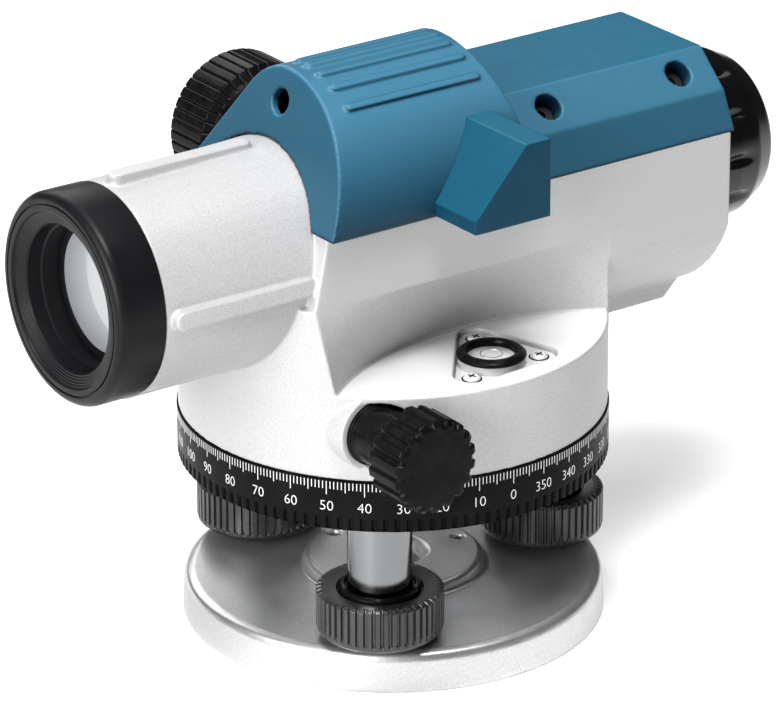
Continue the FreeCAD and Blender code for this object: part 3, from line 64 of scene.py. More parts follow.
class Paint:
    """A node material under construction: one Principled shader and helpers that feed its sockets."""

    def __init__(self, name, colour, roughness, metallic=0.0):
        self.material = bpy.data.materials.new(name)
        self.material.use_nodes = True
        self.material.diffuse_color = (*colour, 1.0)
        self.nodes = self.material.node_tree.nodes
        self.links = self.material.node_tree.links
        self.shader = self.nodes["Principled BSDF"]
        self.shader.inputs["Base Color"].default_value = (*colour, 1.0)
        self.shader.inputs["Roughness"].default_value = roughness
        self.shader.inputs["Metallic"].default_value = metallic
        self.colour = colour
        self.roughness = roughness
        place = self.nodes.new("ShaderNodeTexCoord")
        self.place = place.outputs["Object"]
        self.facing = place.outputs["Normal"]

    def noise(self, size, detail=3.0, stretch=(1, 1, 1)):
        """Noise whose features are about size metres across."""
        mapping = self.nodes.new("ShaderNodeMapping")
        mapping.inputs["Scale"].default_value = stretch
        self.links.new(self.place, mapping.inputs["Vector"])
        texture = self.nodes.new("ShaderNodeTexNoise")
        texture.inputs["Scale"].default_value = 1.0 / size
        texture.inputs["Detail"].default_value = detail
        self.links.new(mapping.outputs["Vector"], texture.inputs["Vector"])
        return texture.outputs["Fac"]

    def ramp(self, value, low, high, start, end):
        """Maps a value from low..high onto start..end."""
        node = self.nodes.new("ShaderNodeMapRange")
        node.inputs["From Min"].default_value = low
        node.inputs["From Max"].default_value = high
        node.inputs["To Min"].default_value = start
        node.inputs["To Max"].default_value = end
        self.links.new(value, node.inputs["Value"])
        return node.outputs["Result"]

    def upward(self, low, high):
        """0 on sides and 1 on faces that look up, between two values of the normal's height."""
        parts = self.nodes.new("ShaderNodeSeparateXYZ")
        self.links.new(self.facing, parts.inputs["Vector"])
        return self.ramp(parts.outputs["Z"], low, high, 0.0, 1.0)

    def level(self, height, reach):
        """1 near a height above the floor, 0 beyond the reach."""
        parts = self.nodes.new("ShaderNodeSeparateXYZ")
        self.links.new(self.place, parts.inputs["Vector"])
        away = self.calculated("SUBTRACT", parts.outputs["Z"], height)
        return self.ramp(self.calculated("ABSOLUTE", away), reach / 2, reach, 1.0, 0.0)

    def calculated(self, operation, first, second=0.0):
        """One step of arithmetic on a socket, with a number or another socket."""
        node = self.nodes.new("ShaderNodeMath")
        node.operation = operation
        self.links.new(first, node.inputs[0])
        if isinstance(second, float):
            node.inputs[1].default_value = second
        else:
            self.links.new(second, node.inputs[1])
        return node.outputs["Value"]

    def vary_colour(self, value, other):
        """Mixes another colour over whatever feeds the base colour so far."""
        mix = self.nodes.new("ShaderNodeMix")
        mix.data_type = "RGBA"
        mix.inputs["A"].default_value = (*self.colour, 1.0)
        mix.inputs["B"].default_value = (*other, 1.0)
        base = self.shader.inputs["Base Color"]
        if base.is_linked:
            self.links.new(base.links[0].from_socket, mix.inputs["A"])
        self.links.new(value, mix.inputs["Factor"])
        self.links.new(mix.outputs["Result"], base)

    def mottle(self, size, low, high, other, detail=3.0):
        """Patches of another colour, about size metres across."""
        self.vary_colour(self.ramp(self.noise(size, detail), low, high, 0.0, 1.0), other)

    def vary_roughness(self, value, spread):
        """Lets the roughness wander by up to a spread, both ways."""
        made = self.ramp(value, 0.3, 0.7, self.roughness - spread, self.roughness + spread)
        self.links.new(made, self.shader.inputs["Roughness"])

    def bump(self, value, depth, strength):
        """Relief of a depth in metres, on top of any relief so far."""
        node = self.nodes.new("ShaderNodeBump")
        node.inputs["Distance"].default_value = depth
        node.inputs["Strength"].default_value = strength
        self.links.new(value, node.inputs["Height"])
        before = self.shader.inputs["Normal"]
        if before.is_linked:
            self.links.new(before.links[0].from_socket, node.inputs["Normal"])
        self.links.new(node.outputs["Normal"], before)

    def set(self, **values):
        """Sets the shader's own sockets, which are the same all over the surface."""
        for name, value in values.items():
            self.shader.inputs[name.replace("_", " ")].default_value = value
        return self


def silver_paint():
    """Metallic lacquer over a cast surface: fine orange peel with bright and dull flakes.
    Faces that look up at the shelf's height, round the bubble, are painted whiter: painted light."""
    paint = Paint("silver_paint", (0.42, 0.42, 0.425), 0.44, 0.15)
    paint.mottle(FLAKE_SIZE, 0.36, 0.64, (0.33, 0.33, 0.335), 2.0)
    # painted light: faces that look up at the shelf's height are mixed towards white
    shelf = paint.calculated("MULTIPLY", paint.upward(0.9, 1.0), paint.level(SHELF_HEIGHT, SHELF_REACH))
    paint.vary_colour(paint.ramp(shelf, 0.0, 1.0, 0.0, SHELF_PAINTED_LIGHT), (0.78, 0.78, 0.78))
    paint.vary_roughness(paint.noise(6 * MM), 0.04)
    paint.bump(paint.noise(0.8 * MM, 4.0), 0.05 * MM, 0.6)
    return paint.material


def base_silver():
    """The base's lacquer: more metallic, so its top mirrors the dark circle above."""
    paint = Paint("base_silver", (0.62, 0.62, 0.62), 0.34, 0.88)
    paint.mottle(FLAKE_SIZE, 0.36, 0.64, (0.49, 0.49, 0.495), 2.0)
    paint.vary_roughness(paint.noise(6 * MM), 0.04)
    paint.bump(paint.noise(0.8 * MM, 4.0), 0.05 * MM, 0.5)
    return paint.material


def moulded_blue(name, colour, patches, painted_lights, specular):
    """Satin moulded blue with a fine spark-eroded grain.
    The fourth argument lists (low, high, colour): lighter blues painted on faces that look up, as painted
    light from above."""
    paint = Paint(name, colour, 0.42)
    paint.mottle(9 * MM, 0.35, 0.65, patches)
    # painted light: each lighter blue is mixed in by how far a face looks up
    for low, high, lighter in painted_lights:
        paint.vary_colour(paint.upward(low, high), lighter)
    paint.vary_roughness(paint.noise(4 * MM), 0.04)
    paint.bump(paint.noise(0.45 * MM), 0.02 * MM, 0.5)
    return paint.set(Specular_IOR_Level=specular).material


def moulded_black(name, colour, patches, roughness, specular):
    """Satin moulded black of the knobs, with slightly lighter patches."""
    paint = Paint(name, colour, roughness)
    paint.mottle(3 * MM, 0.4, 0.7, patches)
    paint.vary_roughness(paint.noise(2.5 * MM), 0.06)
    paint.bump(paint.noise(0.35 * MM), 0.012 * MM, 0.6)
    return paint.set(Specular_IOR_Level=specular).material


def black_rubber():
    """Armour rubber on the objective, with a velvety grain."""
    paint = Paint("black_rubber", (0.005, 0.005, 0.006), 0.36)
    paint.vary_roughness(paint.noise(5 * MM), 0.05)
    paint.bump(paint.noise(GRAIN_SIZE, 4.0), 0.012 * MM, 0.6)
    return paint.set(Specular_IOR_Level=0.11).material


def glossy_black():
    """The polished eyepiece cap."""
    paint = Paint("glossy_black", (0.003, 0.003, 0.0035), 0.17)
    paint.vary_roughness(paint.noise(7 * MM), 0.04)
    paint.bump(paint.noise(1.2 * MM), 0.008 * MM, 0.4)
    return paint.set(Specular_IOR_Level=0.36).material


def circle_black():
    """Hard black of the graduated circle, with a faint turned sheen."""
    paint = Paint("circle_black", (0.004, 0.004, 0.0044), 0.33)
    paint.mottle(14 * MM, 0.35, 0.65, (0.006, 0.006, 0.0065))
    paint.vary_roughness(paint.noise(0.8 * MM, 2.0, (1, 1, 9)), 0.05)
    paint.bump(paint.noise(GRAIN_SIZE), 0.01 * MM, 0.5)
    return paint.set(Specular_IOR_Level=0.03).material


def white_enamel():
    """Paint in the engraved lines and figures."""
    paint = Paint("white_enamel", (0.62, 0.63, 0.62), 0.5)
    paint.mottle(0.6 * MM, 0.4, 0.7, (0.50, 0.51, 0.50))
    paint.bump(paint.noise(0.2 * MM), 0.01 * MM, 0.4)
    return paint.material


def turned_metal(name, colour, roughness, stretch):
    """Machined metal: tool marks run across the stretched direction."""
    paint = Paint(name, colour, roughness, 1.0)
    marks = paint.noise(0.25 * MM, 2.0, stretch)
    paint.vary_roughness(marks, 0.05)
    paint.bump(marks, 0.006 * MM, 0.5)
    return paint.material


def zinc_plate():
    """Pale plated screw heads."""
    paint = Paint("zinc_plate", (0.80, 0.80, 0.79), 0.38, 0.35)
    paint.vary_roughness(paint.noise(1.5 * MM), 0.06)
    paint.bump(paint.noise(GRAIN_SIZE), 0.008 * MM, 0.5)
    return paint.material


def anodised():
    """Matt black anodising inside the optics."""
    paint = Paint("black_anodised", (0.005, 0.005, 0.0055), 0.55, 0.1)
    paint.bump(paint.noise(0.4 * MM, 2.0), 0.01 * MM, 0.5)
    paint.vary_roughness(paint.noise(2 * MM), 0.05)
    return paint.material


def optical_glass():
    """Clear glass with a faint cool coating."""
    paint = Paint("optical_glass", (0.93, 0.96, 0.97), 0.02)
    paint.vary_roughness(paint.noise(20 * MM), 0.008)
    return paint.set(Transmission_Weight=1.0, IOR=1.52, Coat_Weight=0.6, Coat_Roughness=0.03).material


def mirror_silver():
    """The silvered faces of the two mirrors."""
    paint = Paint("mirror_silver", (0.82, 0.85, 0.86), 0.05, 1.0)
    paint.vary_roughness(paint.noise(8 * MM), 0.01)
    return paint.material


def bubble_liquid():
    """Pale spirit under the bubble's glass."""
    paint = Paint("bubble_liquid", (0.62, 0.64, 0.62), 0.12)
    paint.mottle(3 * MM, 0.3, 0.7, (0.70, 0.71, 0.70))
    return paint.set(Coat_Weight=1.0, Coat_Roughness=0.04).material


def coated_lens():
    """The objective's front face as an opaque pale grey under a clear coat: painted reflection standing in for
    what the glass mirrors.
    """
    paint = Paint("coated_lens", (0.25, 0.26, 0.27), 0.42, 0.10)
    paint.mottle(14 * MM, 0.3, 0.7, (0.28, 0.29, 0.295))
    return paint.set(Coat_Weight=1.0, Coat_Roughness=0.04).material


def floor_paper():
    """A white light table: it glows a little, which keeps the shadows pale."""
    paint = Paint("floor_paper", (0.84, 0.84, 0.84), 0.6)
    paint.vary_roughness(paint.noise(40 * MM), 0.04)
    return paint.set(Emission_Color=(1, 1, 1, 1), Emission_Strength=0.16).material


SILVER = silver_paint()
BASE_SILVER = base_silver()
# The (low, high, colour) lists are painted light: lighter blues on faces that look up.
BLUE = moulded_blue("blue_plastic", (0.001, 0.018, 0.034), (0.0015, 0.021, 0.039),
                    [(0.05, 0.80, (0.032, 0.122, 0.194)), (0.96, 1.0, (0.012, 0.086, 0.142))], 0.20)
HOOD_BLUE = moulded_blue("hood_blue", (0.002, 0.030, 0.056), (0.0025, 0.034, 0.062),
                         [(0.45, 0.95, (0.010, 0.078, 0.128))], 0.10)
BLACK = moulded_black("black_plastic", (0.0028, 0.0028, 0.0032), (0.006, 0.006, 0.0065), 0.22, 0.055)
RUBBER = black_rubber()
GLOSSY = glossy_black()
CIRCLE = circle_black()
ENAMEL = white_enamel()
CHROME = turned_metal("bright_steel", (0.19, 0.195, 0.20), 0.12, (1, 1, 12))
STEEL = turned_metal("machined_steel", (0.56, 0.56, 0.57), 0.30, (1, 1, 8))
ALUMINIUM = turned_metal("machined_aluminium", (0.66, 0.67, 0.68), 0.36, (1, 1, 8))
BRASS = turned_metal("machined_brass", (0.72, 0.50, 0.20), 0.30, (1, 1, 8))
ANODISED = anodised()
GLASS = optical_glass()
MIRROR = mirror_silver()
LIQUID = bubble_liquid()
LENS_PAINTED_REFLECTION = coated_lens()
ZINC = zinc_plate()
FOOT_BLACK = moulded_black("foot_black", (0.013, 0.013, 0.0135), (0.020, 0.020, 0.021), 0.34, 0.55)


# ---------------------------------------------------------------- mesh helpers

MOST_TRIANGLES = 180000
CREASE = 35  # degrees: sharper edges stay sharp
GROOVED_CREASE = 50
CAST_CREASE = 60
CORNER_STEPS = 6
CORNER_SHARE = 0.48
NEARLY_STRAIGHT = math.radians(88)
NO_LENGTH = 1e-9
SAME_PLACE = 1e-7
ON_BAND = 1e-5


def middle(node):
    """The centre of a node's box."""
    low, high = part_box(node)
    return (low + high) / 2


def span(node):
    """The size of a node's box."""
    low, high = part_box(node)
    return high - low


def standing(node):
    """A place at the middle of a node's foot, and the node's height in millimetres."""
    low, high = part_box(node)
    centre = middle(node)
    return Matrix.Translation((centre.x, centre.y, low.z)), (high.z - low.z) / MM


def new_piece(name, mesh, material, body, hides=()):
    """Links a mesh, gives it its material and lets it ride on its body."""
    piece = bpy.data.objects.new(name, mesh)
    bpy.context.scene.collection.objects.link(piece)
    mesh.materials.clear()
    mesh.materials.append(material)
    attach(piece, body)
    if hides:
        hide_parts(*hides)


def smooth(mesh, angle):
    """Shades a mesh smooth, apart from edges sharper than an angle in degrees."""
    mesh.polygons.foreach_set("use_smooth", [True] * len(mesh.polygons))
    mesh.set_sharp_from_angle(angle=math.radians(angle))
    mesh.update()


def applied(mesh, *changes):
    """A new mesh: the given one after a list of (modifier type, settings)."""
    helper = bpy.data.objects.new("helper", mesh)
    bpy.context.scene.collection.objects.link(helper)
    for kind, settings in changes:
        modifier = helper.modifiers.new(kind, kind)
        for key, value in settings.items():
            setattr(modifier, key, value)
    graph = bpy.context.evaluated_depsgraph_get()
    result = bpy.data.meshes.new_from_object(helper.evaluated_get(graph))
    bpy.data.objects.remove(helper)
    return result


def softened(name, node, material, body, voxel, passes):
    """A cast or moulded copy of a CAD node, with every edge rounded as a mould leaves it."""
    source = NODES[node].data.copy()
    remeshed = applied(source, ("REMESH", {"mode": "VOXEL", "voxel_size": voxel, "use_smooth_shade": True}),
                       ("SMOOTH", {"factor": 0.5, "iterations": passes}))
    faces = 2 * len(remeshed.polygons)
    if faces > MOST_TRIANGLES:
        remeshed = applied(remeshed, ("DECIMATE", {"ratio": MOST_TRIANGLES / faces}))
    smooth(remeshed, CAST_CREASE)
    new_piece(name, remeshed, material, body, (node,))


def arc_corner(before, corner, after, radius):
    """The points of a rounded corner of an outline."""
    back = before - corner
    ahead = after - corner
    if radius <= 0 or back.length < NO_LENGTH or ahead.length < NO_LENGTH:
        return [corner]
    half = back.angle(ahead) / 2
    if half > NEARLY_STRAIGHT:
        return [corner]
    reach = min(radius / math.tan(half), back.length * CORNER_SHARE, ahead.length * CORNER_SHARE)
    start = corner + back.normalized() * reach
    end = corner + ahead.normalized() * reach
    points = []
    for i in range(CORNER_STEPS + 1):
        t = i / CORNER_STEPS
        points.append(start.lerp(corner, t).lerp(corner.lerp(end, t), t))
    return points


def rounded(corners):
    """An outline of (radius, along, rounding) corners in millimetres, with its corners rounded."""
    flat = [Vector((r, a, 0)) * MM for r, a, _ in corners]
    count = len(flat)
    points = []
    for i, (_, _, rounding) in enumerate(corners):
        points += arc_corner(flat[i - 1], flat[i], flat[(i + 1) % count], rounding * MM)
    return [(p.x, p.y) for p in points]


def divided(outline, longest):
    """Adds points so that no stretch of a closed outline is longer than the given length."""
    points = []
    for i, start in enumerate(outline):
        end = outline[(i + 1) % len(outline)]
        length = math.hypot(end[0] - start[0], end[1] - start[1])
        pieces = max(1, math.ceil(length / longest))
        for j in range(pieces):
            t = j / pieces
            points.append((start[0] + (end[0] - start[0]) * t, start[1] + (end[1] - start[1]) * t))
    return points


def along(direction, centre):
    """Carries local Z onto a direction, about a centre."""
    turn = Vector(direction).to_track_quat("Z", "X").to_matrix().to_4x4()
    return Matrix.Translation(centre) @ turn


def lathe(outline, matrix, steps, groove=None, sharp=CREASE):
    """A mesh turned about local Z from a closed outline of (radius, along) points in metres.
    groove(angle, radius, along) is the depth taken off the radius there."""
    mesh = bpy.data.meshes.new("turned")
    made = bmesh.new()
    rings = []
    for radius, height in outline:
        ring = []
        for i in range(steps):
            angle = FULL_TURN * i / steps
            r = radius - (groove(angle, radius, height) if groove else 0.0)
            ring.append(made.verts.new((r * math.cos(angle), r * math.sin(angle), height)))
        rings.append(ring)
    for row, ring in enumerate(rings):
        following = rings[(row + 1) % len(rings)]
        for i in range(steps):
            j = (i + 1) % steps
            made.faces.new((ring[i], ring[j], following[j], following[i]))
    bmesh.ops.remove_doubles(made, verts=made.verts, dist=SAME_PLACE)
    bmesh.ops.recalc_face_normals(made, faces=made.faces)
    made.to_mesh(mesh)
    made.free()
    mesh.transform(matrix)
    smooth(mesh, sharp)
    return mesh


def ease(value):
    """A smooth step from 0 to 1."""
    value = min(1.0, max(0.0, value))
    return value * value * (3 - 2 * value)


def slot_groove(count, half_width, depth, low, high, edge, band, open_low=False, open_high=False):
    """Round-ended grooves along a knob's band: depth(angle, radius, along) in metres."""
    pitch = FULL_TURN / count

    def taken(angle, radius, height):
        if radius < band:
            return 0.0
        across = (angle % pitch - pitch / 2) * radius
        top = high - half_width
        bottom = low + half_width
        beyond = 0.0
        if height > top and not open_high:
            beyond = height - top
        if height < bottom and not open_low:
            beyond = bottom - height
        distance = math.hypot(across, beyond)
        return depth * ease((half_width - distance) / edge)
    return taken


def joined(parts):
    """One mesh from several."""
    made = bmesh.new()
    for part in parts:
        made.from_mesh(part)
    mesh = bpy.data.meshes.new("joined")
    made.to_mesh(mesh)
    made.free()
    return mesh


# ---------------------------------------------------------------- castings and covers

def castings():
    """The two silver castings, the blue cover and the mirror hood."""
    softened("housing_casting", "main_housing", SILVER, "alidade", voxel=0.40 * MM, passes=2)
    softened("base_casting", "base_plate", BASE_SILVER, "base", voxel=0.5 * MM, passes=4)
    softened("cover_moulding", "top_cover", BLUE, "alidade", voxel=0.42 * MM, passes=5)
    softened("hood_moulding", "mirror_hood", HOOD_BLUE, "alidade", voxel=0.3 * MM, passes=3)


# ---------------------------------------------------------------- foot screws

FOOT_FLUTES = 48
FLUTE_STEPS = 8
FOOT_BORE = 4.1
COLLAR_BORE = 8.4
COLLAR_RADIUS = 10.6
SLEEVE_RADIUS = 8.3


def foot_knob(number):
    """The fluted knob, with a recess in its top for the collar."""
    node = f"foot_knob_{number}"
    place, height = standing(node)
    radius = span(node).x / 2 / MM
    outline = divided(rounded([
        (FOOT_BORE, 0, 0), (radius - 1.5, 0, 0.6), (radius - 0.3, 1.0, 0.5), (radius, 2.2, 0.5),
        (radius, height - 0.7, 0.5), (radius - 0.9, height, 0.4), (radius - 2.6, height - 0.1, 0.5),
        (11.2, height - 0.5, 0.3), (11.0, height - 1.8, 0.2), (9.3, height - 1.8, 0.3),
        (9.2, height - 6.1, 0.2), (FOOT_BORE, height - 6.1, 0)]), 0.4 * MM)
    groove = slot_groove(FOOT_FLUTES, half_width=0.52 * MM, depth=0.75 * MM, low=1.9 * MM, high=height * MM,
                         edge=0.3 * MM, band=(radius - 2.0) * MM, open_high=True)
    mesh = lathe(outline, place, FOOT_FLUTES * FLUTE_STEPS, groove, GROOVED_CREASE)
    new_piece(f"foot_knob_grip_{number}", mesh, FOOT_BLACK, f"foot_{number}", (node,))


def foot_sleeve(number):
    """The bright tube above a foot knob."""
    node = f"foot_sleeve_{number}"
    place, length = standing(node)
    outline = rounded([
        (FOOT_BORE, 0, 0), (SLEEVE_RADIUS - 0.4, 0, 0.2), (SLEEVE_RADIUS, 0.6, 0.3),
        (SLEEVE_RADIUS, length, 0.2), (FOOT_BORE, length, 0)])
    mesh = lathe(outline, place, 96)
    new_piece(f"foot_sleeve_bright_{number}", mesh, CHROME, "tribrach", (node,))


def foot_collar(number):
    """The black washer round a sleeve's foot. The first one rides on its own support."""
    node = f"foot_collar_{number}"
    place, height = standing(node)
    outline = rounded([
        (COLLAR_BORE, 0, 0), (COLLAR_RADIUS, 0, 0.2), (COLLAR_RADIUS, height - 0.7, 0.5), (9.9, height, 0.4),
        (9.2, height - 0.2, 0.3), (9.0, height - 0.8, 0.2), (COLLAR_BORE, height - 0.8, 0.2)])
    mesh = lathe(outline, place, 120)
    body = "foot_lift_1" if number == 1 else "tribrach"
    new_piece(f"foot_collar_washer_{number}", mesh, BLACK, body, (node,))


# ---------------------------------------------------------------- graduated circle

CIRCLE_TEETH = 120
TOOTH_STEPS = 8
CIRCLE_BORE = 20.06
CIRCLE_WALL = 53.8
CIRCLE_WEB_BOTTOM = 7.6
CIRCLE_WEB_DROP = 3.1
TEETH_TOP = 3.6
ENAMEL_ROOM = 0.12
ENAMEL_LIFT = 0.06 * MM
ZERO_ANGLE = math.radians(-93)
LINE_WIDTH = 0.22 * MM
LINE_START = 0.30 * MM
LINE_REACH = {1: 2.3 * MM, 5: 3.1 * MM, 10: 3.9 * MM}  # every degree, every fifth and every tenth
FIGURE_HEIGHT = 2.75 * MM
TYPE_SIZE = 1.4  # the type's size over the height of its figures
FIGURE_DROP = 7.1 * MM
FIGURE_THINNING = -0.055 * MM


def circle_ring():
    """The graduated ring with its toothed lower edge; gives its radius and top."""
    low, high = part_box("horizontal_circle")
    radius = span("horizontal_circle").x / 2 / MM - ENAMEL_ROOM
    height = (high.z - low.z) / MM
    outline = divided(rounded([
        (CIRCLE_BORE, CIRCLE_WEB_BOTTOM, 0), (CIRCLE_WALL, CIRCLE_WEB_BOTTOM, 0), (CIRCLE_WALL, 0, 0.2),
        (radius, 0, 0.3), (radius, height, 0.35), (48, height, 0.2), (48, height - CIRCLE_WEB_DROP, 0),
        (CIRCLE_BORE, height - CIRCLE_WEB_DROP, 0)]), 1.0 * MM)
    groove = slot_groove(CIRCLE_TEETH, half_width=0.78 * MM, depth=0.75 * MM, low=0, high=TEETH_TOP * MM,
                         edge=0.35 * MM, band=(radius - 0.2) * MM, open_low=True)
    banded = densified(outline, radius * MM, 0, 4.2 * MM, 0.3 * MM)
    mesh = lathe(banded, Matrix.Translation((0, 0, low.z)), CIRCLE_TEETH * TOOTH_STEPS, groove, GROOVED_CREASE)
    new_piece("circle_ring", mesh, CIRCLE, "circle", ("horizontal_circle",))
    return radius * MM, high.z


def densified(outline, radius, low, high, step):
    """Puts extra rows where an outline runs up a grooved band."""
    points = []
    for i, start in enumerate(outline):
        end = outline[(i + 1) % len(outline)]
        points.append(start)
        on_band = abs(start[0] - radius) < ON_BAND and abs(end[0] - radius) < ON_BAND
        if on_band and low - ON_BAND <= min(start[1], end[1]) <= high:
            pieces = max(1, round(abs(end[1] - start[1]) / step))
            points += [(radius, start[1] + (end[1] - start[1]) * j / pieces) for j in range(1, pieces)]
    return points


def wrap(mesh, radius, angle, height):
    """Bends a flat mesh in XY onto a cylinder about Z, to be read from outside."""
    for vertex in mesh.vertices:
        x, y, lift = vertex.co
        turn = angle + x / radius
        r = radius + lift
        vertex.co = (r * math.cos(turn), r * math.sin(turn), height + y)


def flat_bar(width, low, high, lift):
    """A thin raised line in the XY plane, from low to high along Y."""
    made = bmesh.new()
    bmesh.ops.create_cube(made, size=1.0)
    for vertex in made.verts:
        vertex.co.x *= width
        vertex.co.y = (low + high) / 2 + vertex.co.y * (high - low)
        vertex.co.z = lift * (vertex.co.z + 0.5)
    mesh = bpy.data.meshes.new("line")
    made.to_mesh(mesh)
    made.free()
    return mesh


def figure(text, height, lift):
    """Flat digits, centred, as a thin solid."""
    curve = bpy.data.curves.new("figure", "FONT")
    curve.body = text
    curve.size = height * TYPE_SIZE
    curve.align_x = "CENTER"
    curve.align_y = "CENTER"
    curve.extrude = lift / 2
    curve.offset = FIGURE_THINNING
    curve.resolution_u = 4
    helper = bpy.data.objects.new("figure", curve)
    bpy.context.scene.collection.objects.link(helper)
    graph = bpy.context.evaluated_depsgraph_get()
    mesh = bpy.data.meshes.new_from_object(helper.evaluated_get(graph))
    bpy.data.objects.remove(helper)
    for vertex in mesh.vertices:
        vertex.co.z += lift / 2
    return mesh


def line_reach(degree):
    """How far down a degree's line runs: every tenth is the longest, then every fifth."""
    for step in (10, 5, 1):
        if degree % step == 0:
            return LINE_REACH[step]


def circle_scale(radius, top):
    """A line at each degree and a figure at every tenth, in white enamel."""
    marks = []
    for degree in range(360):
        line = flat_bar(LINE_WIDTH, -line_reach(degree), -LINE_START, ENAMEL_LIFT)
        wrap(line, radius, ZERO_ANGLE - math.radians(degree), top)
        marks.append(line)
    for degree in range(0, 360, 10):
        digits = figure(str(degree), FIGURE_HEIGHT, ENAMEL_LIFT)
        wrap(digits, radius, ZERO_ANGLE - math.radians(degree), top - FIGURE_DROP)
        marks.append(digits)
    new_piece("circle_figures", joined(marks), ENAMEL, "circle")


# ---------------------------------------------------------------- tangent drive and focusing

TANGENT_LOBES = 18
LOBE_STEPS = 18
TANGENT_RADIUS = 12.36
SHAFT_BORE = 3.1
BUSH_NECK = 5.95
BUSH_RADIUS = 8.35
FOCUS_RIBS = 40
RIB_STEPS = 12
FOCUS_RADIUS = 19.35
FOCUS_HUB_DEPTH = 6.5


def scallops(count, half_width, depth, band, fade):
    """Round-bottomed grooves with flat lands between them, as far in as a band's radius."""
    pitch = FULL_TURN / count

    def taken(angle, radius, height):
        across = abs(angle % pitch - pitch / 2) * radius
        hollow = max(0.0, 1 - (across / half_width) ** 2)
        return depth * ease(hollow * 1.25) * ease((radius - band) / fade)
    return taken


def sideways(node, side):
    """A side's direction, the node's inner face on that side and the node's length in millimetres."""
    low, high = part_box(node)
    inner = high.y if side < 0 else low.y
    return (0, side, 0), inner, (high.y - low.y) / MM


def tangent_knob(name, side):
    """A lobed knob with a domed face."""
    node = f"tangent_knob_{name}"
    centre = middle(node)
    direction, inner, length = sideways(node, side)
    outline = divided(rounded([
        (ON_AXIS, 0, 0), (TANGENT_RADIUS - 0.9, 0, 0.4), (TANGENT_RADIUS, 0.9, 0.6),
        (TANGENT_RADIUS, length - 1.4, 0.9), (TANGENT_RADIUS - 1.2, length - 0.3, 0.9),
        (8.0, length - 0.1, 2.0), (4.0, length, 1.0), (ON_AXIS, length, 0)]), 0.5 * MM)
    groove = scallops(TANGENT_LOBES, 1.25 * MM, 0.95 * MM, (TANGENT_RADIUS - 2.4) * MM, 1.2 * MM)
    place = along(direction, (centre.x, inner, centre.z))
    mesh = lathe(outline, place, TANGENT_LOBES * LOBE_STEPS, groove, GROOVED_CREASE)
    new_piece(f"tangent_knob_{name}_grip", mesh, BLACK, "worm", (node,))


def tangent_bush(name, side):
    """The stepped sleeve between the drum and the knob; the worm's height is the knob's own."""
    node = f"tangent_bush_{name}"
    centre = middle(f"tangent_knob_{name}")
    direction, inner, length = sideways(node, side)
    outline = rounded([
        (SHAFT_BORE, 0, 0), (BUSH_NECK, 0, 0), (BUSH_NECK, 9.5, 0), (BUSH_RADIUS, 9.5, 0.2),
        (BUSH_RADIUS, 10.6, 0.5), (7.8, 11.0, 0.4), (7.55, 12.0, 0.6), (7.3, length - 1.2, 0.8),
        (6.6, length, 0.5), (SHAFT_BORE, length, 0)])
    mesh = lathe(outline, along(direction, (centre.x, inner, centre.z)), 120)
    new_piece(f"tangent_bush_{name}_sleeve", mesh, BLACK, "alidade", (node,))


def focus_knob():
    """The ribbed focusing knob, with a sunk face."""
    node = "focus_knob"
    centre = middle(node)
    direction, inner, length = sideways(node, 1)
    outline = divided(rounded([
        (SHAFT_BORE, 0, 0), (FOCUS_RADIUS - 3.2, 0, 0.6), (FOCUS_RADIUS - 2.0, 1.2, 0.5),
        (FOCUS_RADIUS - 0.1, 2.8, 0.5), (FOCUS_RADIUS, length - 1.8, 1.2),
        (FOCUS_RADIUS - 1.6, length - 0.2, 1.0), (FOCUS_RADIUS - 4.0, length, 1.0),
        (FOCUS_RADIUS - 5.2, length - 0.9, 0.8), (ON_AXIS, length - 0.9, 0),
        (ON_AXIS, FOCUS_HUB_DEPTH, 0), (SHAFT_BORE, FOCUS_HUB_DEPTH, 0)]), 0.7 * MM)
    groove = slot_groove(FOCUS_RIBS, half_width=0.34 * MM, depth=0.6 * MM, low=0, high=length * MM,
                         edge=0.34 * MM, band=(FOCUS_RADIUS - 2.2) * MM, open_low=True, open_high=True)
    place = along(direction, (centre.x, inner, centre.z))
    mesh = lathe(outline, place, FOCUS_RIBS * RIB_STEPS, groove, GROOVED_CREASE)
    new_piece("focus_knob_grip", mesh, BLACK, "focus_drive", (node,))


# ---------------------------------------------------------------- objective and eyepiece

TUBE_FRONT = -87.0
THREAD_TURNS = 5
THREAD_RADIUS = 22.3
THREAD_STEP_IN = 0.66
THREAD_STEP_BACK = 0.26
BROW_RADIAL = 2.4
BROW_AXIAL = 2.8
BROW_STEPS = 12
LENS_RADIUS = 16.2
LENS_EDGE = 17.8
LENS_BACK = -8.3
LENS_FRONT = 3.3
LENS_SAG = 1.4
LENS_STEPS = 12
DENTS = 12
DENT_STEPS = 24
DENT_DEPTH = 1.5 * MM
DENT_MIDDLE = 7 * MM
DENT_INSIDE = 15 * MM
DENT_FADE = 3 * MM


def objective_place():
    """Carries local Z forwards from the front of the telescope tube."""
    return along((-1, 0, 0), (TUBE_FRONT * MM, 0, middle("objective_ring").z))


def thread_profile(shoulder):
    """Shallow steps of the filter thread, from the mouth inwards."""
    steps = []
    for i in range(THREAD_TURNS):
        r = THREAD_RADIUS - i * THREAD_STEP_IN
        z = shoulder - 0.7 - i * THREAD_STEP_BACK
        steps += [(r, z, 0.08), (r - 0.42, z - 0.05, 0.08)]
    return steps


def brow_profile(radius, shoulder):
    """The broad rounding of the ring's front edge."""
    arc = []
    for i in range(BROW_STEPS + 1):
        turn = math.pi / 2 * i / BROW_STEPS
        arc.append((radius - BROW_RADIAL + BROW_RADIAL * math.cos(turn),
                    shoulder - BROW_AXIAL + BROW_AXIAL * math.sin(turn), 0))
    return arc


